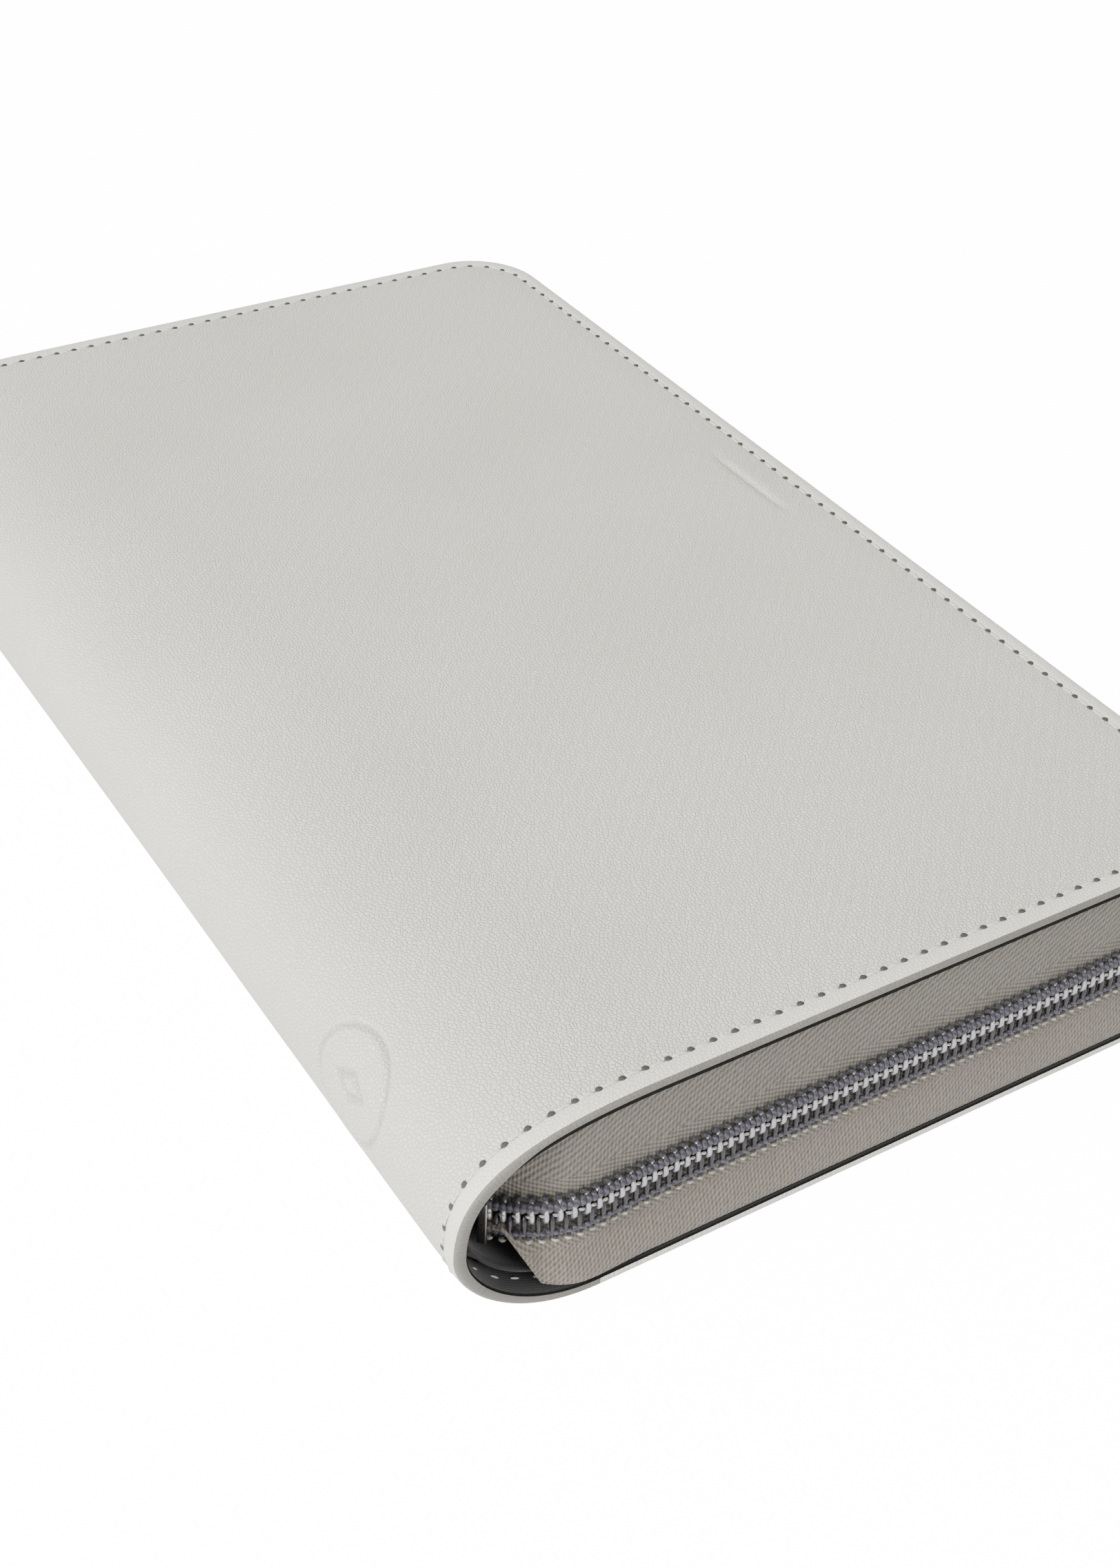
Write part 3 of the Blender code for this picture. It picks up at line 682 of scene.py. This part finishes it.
board = grey_board()
refinish("front_cover_board", board)
refinish("back_cover_board", board)
board_low, board_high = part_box("front_cover_board")[0].y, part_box("front_cover_board")[1].y
stiff_span = (SPINE_GIRTH[0] + 0.3 * MM, SPINE_GIRTH[1] - 0.3 * MM, board_low, board_high)
stiffener = closed_layer(
    "spine_stiffener",
    stiff_span,
    spread((stiff_span[0] + 1 * MM, stiff_span[1] - 1 * MM, 1 * MM)),
    spread((board_low + 1 * MM, board_high - 1 * MM, 12 * MM)),
    1 * MM,
    [0],
    constant(-BOARD_LEVEL),
    constant(-BOARD_LEVEL - BOARD_THICK),
    (board,) * 3,
)
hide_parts("upper_spine_stiffener", "lower_spine_stiffener")
across_spine(stiffener)

lining_span = (LINING_INSET, GIRTH - LINING_INSET, TAIL + LINING_INSET, HEAD - LINING_INSET)
lining_corner = CORNER - LINING_INSET
lining = closed_layer(
    "cover_lining",
    lining_span,
    spread(
        (lining_span[0] + lining_corner, SPINE_GIRTH[0], LINING_STEP),
        (SPINE_GIRTH[0], SPINE_GIRTH[1], 1 * MM),
        (SPINE_GIRTH[1], lining_span[1] - lining_corner, LINING_STEP),
    ),
    spread((lining_span[2] + lining_corner, lining_span[3] - lining_corner, LINING_STEP)),
    lining_corner,
    [0, 1 * MM, 4 * MM],
    constant(-LINING_LEVEL),
    constant(-LINING_LEVEL - LINING_THICK),
    (lining_cloth,) * 3,
)
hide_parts("front_cover_lining", "back_cover_lining")
across_spine(lining)

# ---------------------------------------------------------------- zip tapes
# Herringbone-woven polyester tape, warm grey. Each tape stands up from a seam allowance sewn under the
# cover's edge, goes round the three open sides and turns in behind the ends of the spine, where the lower
# one is folded back on the slant.
ZIP_LEVEL = HINGE[2] - 2.1 * MM
TAPE_INSET = 1.7 * MM
TAPE = 0.45 * MM
TAPE_CLEAR = 0.35 * MM  # inside the spine's curve
TAPE_EDGE = 0.4 * MM  # from the middle of the chain
END_START = 17.5 * MM
END_RADIUS = 15 * MM
TAPE_TURN = math.radians(50)
ARC_STEPS, CORNER_STEPS = 40, 12
SLACK, SLACK_AT = 0.35 * MM, (18 * MM, 6 * MM)
SEAM_LEVEL = (1.75 * MM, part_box("upper_zip_tape")[1].z + 0.05 * MM)
SPLIT = 27 * MM
FOLD = (12.8 * MM, 7.5 * MM)
FOLD_EDGE = 0.8 * MM
ALLOWANCE, ALLOWANCE_END, ALLOWANCE_FROM = 2.4 * MM, 0.4 * MM, 20 * MM
TURN_RADIUS = 0.5 * MM
RIPPLE, BELLY = 0.09 * MM, 0.25 * MM
LOWER_FOOT = 1.42 * MM  # how far the lower tape's foot stands out from its top
TAPE_ROWS = 12
PICK = 0.52 * MM  # one beaded yarn


def zip_path(turn, inset=0.0, step=1.5 * MM):
    """Stations (x, y, outward x, outward y) of the chain, from the tail end of the spine to the head end."""
    half_way = []
    for a in np.linspace(turn, 0, ARC_STEPS + 1):
        sin, cos = math.sin(a), math.cos(a)
        half_way.append((END_START - END_RADIUS * sin, END_RADIUS * (1 - cos), -sin, -cos))
    width, length = FORE - SPINE, HEAD - TAIL
    half_way += [(x, 0, 0, -1) for x in spread((END_START, width - CORNER, step))[1:]]
    for a in np.linspace(0, math.pi / 2, CORNER_STEPS + 1)[1:]:
        sin, cos = math.sin(a), math.cos(a)
        half_way.append((width - CORNER + CORNER * sin, CORNER * (1 - cos), sin, -cos))
    half_way += [(width, y, 1, 0) for y in spread((CORNER, length / 2, step))[1:]]
    other = [(x, length - y, nx, -ny) for x, y, nx, ny in half_way[-2::-1]]
    line = []
    for x, y, nx, ny in half_way + other:
        shift = inset - SLACK * hump(x, *SLACK_AT)
        line.append((SPINE + x - nx * shift, TAIL + y - ny * shift, nx, ny))
    return np.array(line)


def herringbone(name, middle, light, dark, halves):
    """Polyester tape woven in a herringbone: slanted ridges of beaded yarn that turn over at mid height."""
    finish, tree = new_finish(name, Roughness=0.72, Sheen_Weight=0.25, Sheen_Roughness=0.4)
    place = add(tree, "TexCoord")
    axes = add(tree, "SeparateXYZ", Vector=(place, 2))
    above = add(tree, "Math", operation="GREATER_THAN", _0=(axes, 1), _1=middle)

    def ridges(angle, ridge):
        along = add(tree, "Math", operation="MULTIPLY", _0=(axes, 0), _1=-math.sin(angle))
        both = add(tree, "Math", operation="MULTIPLY_ADD", _0=(axes, 1), _1=math.cos(angle), _2=(along, 0))
        phase = add(tree, "Math", operation="MULTIPLY", _0=(both, 0), _1=2 * math.pi / ridge)
        return add(tree, "Math", operation="SINE", _0=(phase, 0))

    first, second = (ridges(math.radians(tilt), pitch) for tilt, pitch in halves)
    chosen = add(tree, "Mix", data_type="FLOAT", _0=(above, 0), _2=(first, 0), _3=(second, 0))
    picks = add(tree, "Math", operation="MULTIPLY", _0=(axes, 0), _1=2 * math.pi / PICK)
    beads = add(tree, "Math", operation="SINE", _0=(picks, 0))
    rough = add(tree, "TexNoise", noise_dimensions="2D", Vector=(place, 2), Scale=1500.0, Detail=2.0)
    weave = add(tree, "Math", operation="MULTIPLY_ADD", _0=(beads, 0), _1=0.7, _2=(chosen, 0))
    weave = add(tree, "Math", operation="MULTIPLY_ADD", _0=(rough, 0), _1=2.4, _2=(weave, 0))
    level = add(tree, "MapRange", Value=(weave, 0), From_Min=-0.5, From_Max=2.9)
    relief(tree, (level, 0), dark, light, 0.8, 0.22 * MM)
    return finish


def inner_level(x, upper):
    """How high, or how low, the tape may reach at x inside the curve of the spine."""
    start = SPINE_GIRTH[0] - 2 * MM if upper else SPINE_GIRTH[1] + 2 * MM
    points, _ = on_wrap(np.linspace(start, MID_SPINE, 200), 0, -RIM - TAPE_CLEAR)
    return float(np.interp(x, points[::-1, 0], points[::-1, 2]))


def tape_level(x, upper, start):
    """The height of the tape's seam at x: it follows the spine's curve, and the lower one's folded end."""
    from_spine = x - SPINE
    level = SEAM_LEVEL[1] if upper else SEAM_LEVEL[0]
    if from_spine < SPLIT:
        reach = inner_level(x, upper)
        level = min(level, reach) if upper else max(level, reach)
    if not upper and from_spine < FOLD[0]:
        share = (FOLD[0] - from_spine) / (FOLD[0] - FOLD[1])
        level = min(max(level, SEAM_LEVEL[0] + share * (start - SEAM_LEVEL[0])), start - FOLD_EDGE)
    return level


def tape_profile(x, u, upper):
    """The tape's outer face in section, as (inset, height): its standing part, the turn and the allowance."""
    side = 1 if upper else -1
    start = ZIP_LEVEL + side * TAPE_EDGE
    level = tape_level(x, upper, start)
    height = abs(level - start)
    round_off = min(TURN_RADIUS, height / 3)
    foot = 0 if upper else LOWER_FOOT
    wander = 0.6 * math.sin(u * 1330 + 1)
    profile = []
    for k in range(TAPE_ROWS + 1):
        share = k / TAPE_ROWS
        bow = math.sin(math.pi * share)
        belly = RIPPLE * (math.sin(u * 570 + share * 2) + wander) * bow - BELLY * bow**2
        inset = TAPE_INSET - belly - foot * rise(share, 0.3, 1)
        profile.append((inset, start + side * share * (height - round_off)))
    for a in (30, 60, 90):
        turn = math.radians(a)
        inset = TAPE_INSET - foot + round_off * (1 - math.cos(turn))
        profile.append((inset, level - side * round_off * (1 - math.sin(turn))))
    allowance = ALLOWANCE_END + ALLOWANCE * rise(x - SPINE, ALLOWANCE_FROM, SPLIT)
    profile.append((TAPE_INSET + round_off + allowance, level))
    return np.array(profile)


def tape_strip(name, upper, finish):
    """The tape as a thin closed strip along its path."""
    stations = zip_path(TAPE_TURN)
    run = np.concatenate([[0], np.cumsum(np.hypot(*np.diff(stations[:, :2], axis=0).T))])
    verts, uvs, loops = [], [], []
    for (x, y, nx, ny), u in zip(stations, run):
        profile = tape_profile(x, u, upper)
        ahead = np.gradient(profile, axis=0)
        ahead /= np.linalg.norm(ahead, axis=1)[:, None] + 1e-12
        thick = TAPE if upper else -TAPE
        back = profile + thick * np.stack([ahead[:, 1], -ahead[:, 0]], 1)
        lengths = np.concatenate([[0], np.cumsum(np.linalg.norm(np.diff(profile, axis=0), axis=1))])
        ring = np.vstack([profile, back[::-1]])
        loops.append(range(len(verts), len(verts) + len(ring)))
        verts += [(x - nx * i, y - ny * i, z) for i, z in ring]
        uvs += [(u, v) for v in np.concatenate([lengths, lengths[::-1]])]
    count = len(loops[0])
    faces = []
    for one, two in zip(loops, loops[1:]):
        faces += [(one[k], one[(k + 1) % count], two[(k + 1) % count], two[k]) for k in range(count)]
    for end in (loops[0], loops[-1]):
        faces += [(end[k], end[k + 1], end[count - 2 - k], end[count - 1 - k]) for k in range(count // 2 - 1)]
    return solid(name, verts, faces, (finish,), uvs=uvs)


def from_zip_end(piece):
    """The piece's placement is baked into its mesh."""
    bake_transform(piece)


# Tilt in degrees and width of the ridges, below and above the middle.
upper_twill = ((-18, 0.6 * MM), (35, 0.95 * MM))
lower_twill = ((38, 0.6 * MM), (-38, 0.6 * MM))
upper_weave = herringbone("upper tape, herringbone polyester", 5.2 * MM, "#7E786E", "#46433C", upper_twill)
lower_weave = herringbone("lower tape, herringbone polyester", 5.0 * MM, "#847C72", "#544E46", lower_twill)
upper_tape = tape_strip("upper_tape", True, upper_weave)
lower_tape = tape_strip("lower_tape", False, lower_weave)
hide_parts("upper_zip_tape", "upper_tape_tail_end", "upper_tape_head_end")
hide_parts("lower_zip_tape")
path_length = float(np.sum(np.hypot(*np.diff(zip_path(TAPE_TURN)[:, :2], axis=0).T)))
from_zip_end(upper_tape)
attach(lower_tape, "back_cover")

# ---------------------------------------------------------------- zip chain
# A spiral zip: a metallised nylon coil at 1.5 mm pitch is sewn to the edge of each tape. The bright ends
# of the turns mesh in the middle, and a band of dark and light sewing threads holds the coil down.
PITCH = 1.5 * MM
COIL_TURN = math.radians(46)
# Each turn of the coil, in mm: how far up the tape, how far out of it, and the radius there.
UPPER_TURN = (
    (3.0, 0.3, 0.28), (2.5, 0.7, 0.32), (1.8, 0.8, 0.32), (1.25, 1.0, 0.36),
    (0.65, 1.0, 0.37), (0.1, 0.72, 0.33), (-0.1, 0.2, 0.26),
)
LOWER_TURN = (
    (3.0, 0.35, 0.28), (2.5, 0.6, 0.32), (1.7, 0.65, 0.34), (0.9, 0.65, 0.36),
    (0.2, 0.6, 0.38), (-0.4, 0.3, 0.34), (-0.5, 0.0, 0.3),
)


def metallised_nylon(name, light, dark):
    """Nylon coil with a pewter-coloured metal film: bright where it is rounded, grey in its folds."""
    finish, tree = new_finish(name, Metallic=0.8, Roughness=0.3)
    place = add(tree, "TexCoord")
    wear = add(tree, "TexNoise", Vector=(place, 3), Scale=1600.0, Detail=2.0)
    tone = add(tree, "Mix", data_type="RGBA", _0=(wear, 0), _6=ink(dark), _7=ink(light))
    rough = add(tree, "MapRange", Value=(wear, 0), To_Min=0.22, To_Max=0.42)
    dress(tree, Base_Color=(tone, 2), Roughness=(rough, 0))
    return finish


def zip_run(inset, level):
    stations = zip_path(COIL_TURN, inset)
    count = len(stations)
    out = np.column_stack([stations[:, 2:], np.zeros(count)])
    return [(np.column_stack([stations[:, :2], np.full(count, level)]), out)]


coil_film = metallised_nylon("nylon coil, pewter film", "#D2D1D8", "#A4A3AC")
# The lower coil takes a darker copy of the same film: painted shade on the turns that face down.
painted_shade_film = metallised_nylon("nylon coil, pewter film in painted shade", "#5B5A5E", "#383739")
chain = {}
for name, side, shift, bar, film in (
    ("upper_coil", 1, 0, UPPER_TURN, coil_film),
    ("lower_coil", -1, PITCH / 2, LOWER_TURN, painted_shade_film),
):
    one_turn = tube([(shift, side * up * MM, out * MM) for up, out, _ in bar], [r * MM for _, _, r in bar])
    chain[name] = row(name, zip_run(TAPE_INSET, ZIP_LEVEL), one_turn, PITCH, film, 0.04, 11)
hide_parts("upper_zip_coil", "upper_coil_tail_end", "upper_coil_head_end")
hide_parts("lower_zip_coil")

band_thread = plain_thread("coil sewing thread, grey violet", "#4A4752", "#29272F")
dark_thread = plain_thread("coil sewing thread, near black", "#2B2A33", "#15151B")
pale_thread = plain_thread("coil sewing thread, pale", "#B8B3AA", "#8E897F")
# Each line of sewing, in mm: height above the middle of the chain, stand from the tape, stitch size, pitch.
SEWING = (
    ("upper_seam_dots", 3.4, 0.34, dark_thread, (0.44, 0.4, 0.4), 1.5),
    ("upper_seam_band", 2.3, 0.86, band_thread, (0.5, 0.8, 0.4), 0.75),
    ("upper_seam_line", 1.4, 1.15, pale_thread, (0.42, 0.11, 0.3), 1.5),
    ("lower_seam_band", -1.9, 0.72, band_thread, (0.5, 0.42, 0.36), 0.75),
    ("lower_seam_dots", -2.65, 0.7, dark_thread, (0.4, 0.36, 0.36), 1.5),
    ("lower_seam_beads", -3.45, 0.5, pale_thread, (0.5, 0.24, 0.34), 1.5),
)
for name, height, proud, thread, size, pitch in SEWING:
    line = zip_run(TAPE_INSET - proud * MM, ZIP_LEVEL + height * MM)
    chain[name] = row(name, line, bead(*(s * MM for s in size)), pitch * MM, thread, 0.15, 13)
for name, piece in chain.items():
    if name.startswith("upper"):
        from_zip_end(piece)
    else:
        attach(piece, "back_cover")

# ---------------------------------------------------------------- stops, slider and pull
# Zinc castings, nickel plated and tumbled, so their edges are round and their faces faintly brushed. The
# stops are crimped over the ends of the chain; the slider's bridge holds the pull by its eye.
ROUNDING = 0.22 * MM
EDGE_ANGLE = math.radians(25)


def nickel():
    """Nickel plate on a zinc casting: a warm light grey metal with a fine brushed grain of 0.1 mm."""
    finish, tree = new_finish("nickel-plated zinc, brushed", Metallic=1.0, Roughness=0.28)
    place = add(tree, "TexCoord")
    long_way = add(tree, "Mapping", Vector=(place, 3), Scale=(400, 9000, 9000))
    grain = add(tree, "TexNoise", Vector=(long_way, 0), Scale=1.0, Detail=3.0)
    rough = add(tree, "MapRange", Value=(grain, 0), To_Min=0.2, To_Max=0.42)
    dress(tree, Roughness=(rough, 0))
    relief(tree, (grain, 0), "#8C8A87", "#B2B0AC", 0.15, 0.05 * MM)
    return finish


plate = nickel()
for name, node, body in (
    ("slider_casting", "slider_body", "slider"),
    ("pull_plate", "pull_tab", "pull"),
    ("bottom_stop_clamp", "bottom_stop", "back_cover"),
    ("upper_top_stop_clamp", "upper_top_stop", "back_cover"),
    ("lower_top_stop_clamp", "lower_top_stop", "back_cover"),
):
    mesh = frame["nodes"][node].data.copy()
    piece = in_scene(name, mesh)
    tidy_normals(mesh)
    mesh.materials.clear()
    mesh.materials.append(plate)
    bevel = piece.modifiers.new("rounding", "BEVEL")
    bevel.width, bevel.segments, bevel.limit_method, bevel.angle_limit = ROUNDING, 3, "ANGLE", EDGE_ANGLE
    bevel.harden_normals = False
    made = settle(piece, bevel)
    made.polygons.foreach_set("use_smooth", [True] * len(made.polygons))
    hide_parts(node)
    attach(piece, body)

# ---------------------------------------------------------------- book block
# Sections of thin cream book paper, sewn and glued at a rounded back. The leaves' edges are trimmed but
# never quite level, so they show as fine lines. Two plain flyleaves lie over the first and last leaf.
LEAF = 0.32 * MM
LEAF_LINE = 0.16 * MM
PAGE_SLIT = 0.03 * MM
PAGE_BACK = SPINE + 10.5 * MM
PAGE_SHOULDER = SPINE + 14 * MM
PAGE_CLIP = 1.2 * MM
TRIM = (0.02, 0.22)
BLOCK = (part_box("text_block")[0].z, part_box("front_flyleaf")[1].z)
WAVE_LENGTH = 0.314  # between a wave texture's bands at scale 1, in metres


def book_paper():
    """Uncoated cream wood-free paper; at the edges every leaf is a line, drawn here at 0.16 mm."""
    finish, tree = new_finish("book paper, uncoated cream", Roughness=0.85)
    place = add(tree, "TexCoord")
    scale = WAVE_LENGTH / LEAF_LINE
    lines = add(tree, "TexWave", bands_direction="Z", Vector=(place, 3), Scale=scale, Distortion=0.6)
    fibre = add(tree, "TexNoise", Vector=(place, 3), Scale=700.0, Detail=4.0)
    both = add(tree, "Math", operation="MULTIPLY", _0=(lines, 1), _1=(fibre, 0))
    relief(tree, (both, 0), "#D9D2BE", "#F3EDDD", 0.25, 0.06 * MM)
    return finish


def back_at(z):
    """Where the rounded back of the block lies at a height."""
    middle = (BLOCK[0] + BLOCK[1]) / 2
    share = (z - middle) / (BLOCK[1] - middle)
    return PAGE_SHOULDER - (PAGE_SHOULDER - PAGE_BACK) * math.sqrt(max(1 - share**2, 0))


def leaves(name, node, body, finish):
    """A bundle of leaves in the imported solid's place, each trimmed a hair short of it."""
    low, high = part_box(node)
    chance = np.random.default_rng(len(name))
    count = max(1, round((high.z - low.z) / LEAF))
    near, far = PAGE_CLIP, 0.3 * PAGE_CLIP
    verts, faces = [], []
    for k in range(count):
        z0 = low.z + (high.z - low.z) * k / count
        z1 = low.z + (high.z - low.z) * (k + 1) / count - PAGE_SLIT
        short = chance.uniform(*TRIM, 3) * MM
        x0 = max(back_at((z0 + z1) / 2), low.x)
        x1, y0, y1 = high.x - short[0], low.y + short[1], high.y - short[2]
        outline = [(x0, y0), (x1 - near, y0), (x1 - far, y0 + far), (x1, y0 + near)]
        outline += [(x1, y1 - near), (x1 - far, y1 - far), (x1 - near, y1), (x0, y1)]
        first, n = len(verts), len(outline)
        verts += [(x, y, z0) for x, y in outline] + [(x, y, z1) for x, y in outline]
        faces.append(tuple(first + i for i in range(n))[::-1])
        faces.append(tuple(first + n + i for i in range(n)))
        faces += ring_faces(first, first + n, n)
    piece = solid(name, verts, faces, (finish,), smooth=False)
    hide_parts(node)
    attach(piece, body)


paper = book_paper()
leaves("text_block_leaves", "text_block", "back_cover", paper)
leaves("section_1_leaves", "page_section_1", "page_section_1", paper)
leaves("section_2_leaves", "page_section_2", "page_section_2", paper)
refinish("front_flyleaf", paper)
refinish("rear_flyleaf", paper)

# ---------------------------------------------------------------- mull, headband and tailband
# Starched open-weave cotton is glued over the back of the block to hold the sections. At each end of the
# back sits a band of pale thread wound over a cord.
MULL_THREAD = 0.9 * MM
WINDING = 0.18 * MM
WINDING_PITCH = 0.36 * MM


def open_cotton():
    """Mull, a starched cotton gauze with a thread every 0.9 mm and glue between the threads."""
    finish, tree = new_finish("mull, starched cotton gauze", Roughness=0.85)
    place = add(tree, "TexCoord")
    scale = WAVE_LENGTH / MULL_THREAD
    warp, weft = (
        add(tree, "TexWave", bands_direction=way, Vector=(place, 3), Scale=scale) for way in "YZ"
    )
    top = add(tree, "Math", operation="MAXIMUM", _0=(warp, 1), _1=(weft, 1))
    relief(tree, (top, 0), "#A79F8C", "#DDD8CB", 0.6, 0.2 * MM)
    return finish


refinish("spine_mull", open_cotton())
for name, node in (("head_band_winding", "headband"), ("tail_band_winding", "tailband")):
    low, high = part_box(node)
    y, radius = (low.y + high.y) / 2, (high.y - low.y) / 2
    cord = np.array([(back_at(z) - radius, y, z) for z in spread((low.z, high.z, 0.3 * MM))])
    outward = np.tile((0.0, 1.0, 0.0), (len(cord), 1))
    round_cord = np.linspace(0, 2 * math.pi, 9)
    wind = [(0.0, radius * 0.72 * math.cos(a), radius * 0.72 * math.sin(a)) for a in round_cord]
    winding = tube(wind, [WINDING] * len(wind), 5)
    wound = row(name, [(cord, outward)], winding, WINDING_PITCH, pale_thread, 0.0, 17)
    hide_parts(node)
    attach(wound, "back_cover")

# ---------------------------------------------------------------- camera, floor and lights
# A pale seamless sweep and soft daylight from the upper left, as for a plain product picture. The sweep
# glows for the camera alone, so it looks white and throws little light up at the book.
EYE = (-140.55 * MM, -233.0 * MM, 202.01 * MM)
YAW, TILT, ROLL_ANGLE = (math.radians(a) for a in (33.94, 37.54, 3.39))
LENS, SENSOR = 51.44, 36
FLOOR_HALF, FLOOR_LEVEL = 3.0, -0.2 * MM
GLOW, GLOW_ALL_ROUND = 14.0, 0.15
SKY = 0.81


def set_camera():
    ahead = Vector((math.sin(YAW) * math.cos(TILT), math.cos(YAW) * math.cos(TILT), -math.sin(TILT)))
    right = Vector((math.cos(YAW), -math.sin(YAW), 0))
    up = right.cross(ahead)
    side = right * math.cos(ROLL_ANGLE) + up * math.sin(ROLL_ANGLE)
    over = up * math.cos(ROLL_ANGLE) - right * math.sin(ROLL_ANGLE)
    view = bpy.data.cameras.new("camera")
    view.lens, view.sensor_width, view.clip_start = LENS, SENSOR, 0.01
    camera = in_scene("camera", view)
    camera.matrix_world = Matrix.Translation(EYE) @ Matrix((side, over, -ahead)).transposed().to_4x4()
    bpy.context.scene.camera = camera


def set_floor():
    finish, tree = new_finish("white paper sweep, lit from behind", Base_Color=ink("#D8D8D6"), Roughness=0.9)
    seen = add(tree, "LightPath")
    glow = add(tree, "Math", operation="MULTIPLY_ADD", _0=(seen, 0), _1=GLOW, _2=GLOW_ALL_ROUND)
    dress(tree, Emission_Color=(1, 1, 1, 1), Emission_Strength=(glow, 0))
    corners = [(x * FLOOR_HALF, y * FLOOR_HALF, FLOOR_LEVEL) for x, y in ((-1, -1), (1, -1), (1, 1), (-1, 1))]
    solid("floor", corners, [(0, 1, 2, 3)], (finish,), smooth=False)


def set_light(name, place, size, power, tint=(1, 1, 1)):
    """A round soft light, aimed at the middle of the book."""
    lamp = bpy.data.lights.new(name, "AREA")
    lamp.shape, lamp.size, lamp.energy, lamp.color = "DISK", size, power, tint
    holder = in_scene(name, lamp)
    holder.location = place
    holder.rotation_euler = (-Vector(place)).to_track_quat("-Z", "Y").to_euler()


def set_sky(level):
    world = bpy.data.worlds.new("studio")
    world.use_nodes = True
    plug(world.node_tree, world.node_tree.nodes["Background"], {"Color": (1, 1, 1, 1), "Strength": level})
    bpy.context.scene.world = world


set_camera()
set_floor()
set_sky(SKY)
set_light("window", (-0.85, -0.2, 0.55), 0.6, 29, (1, 0.99, 0.97))
set_light("fill", (0.3, -0.9, 0.6), 0.6, 3)
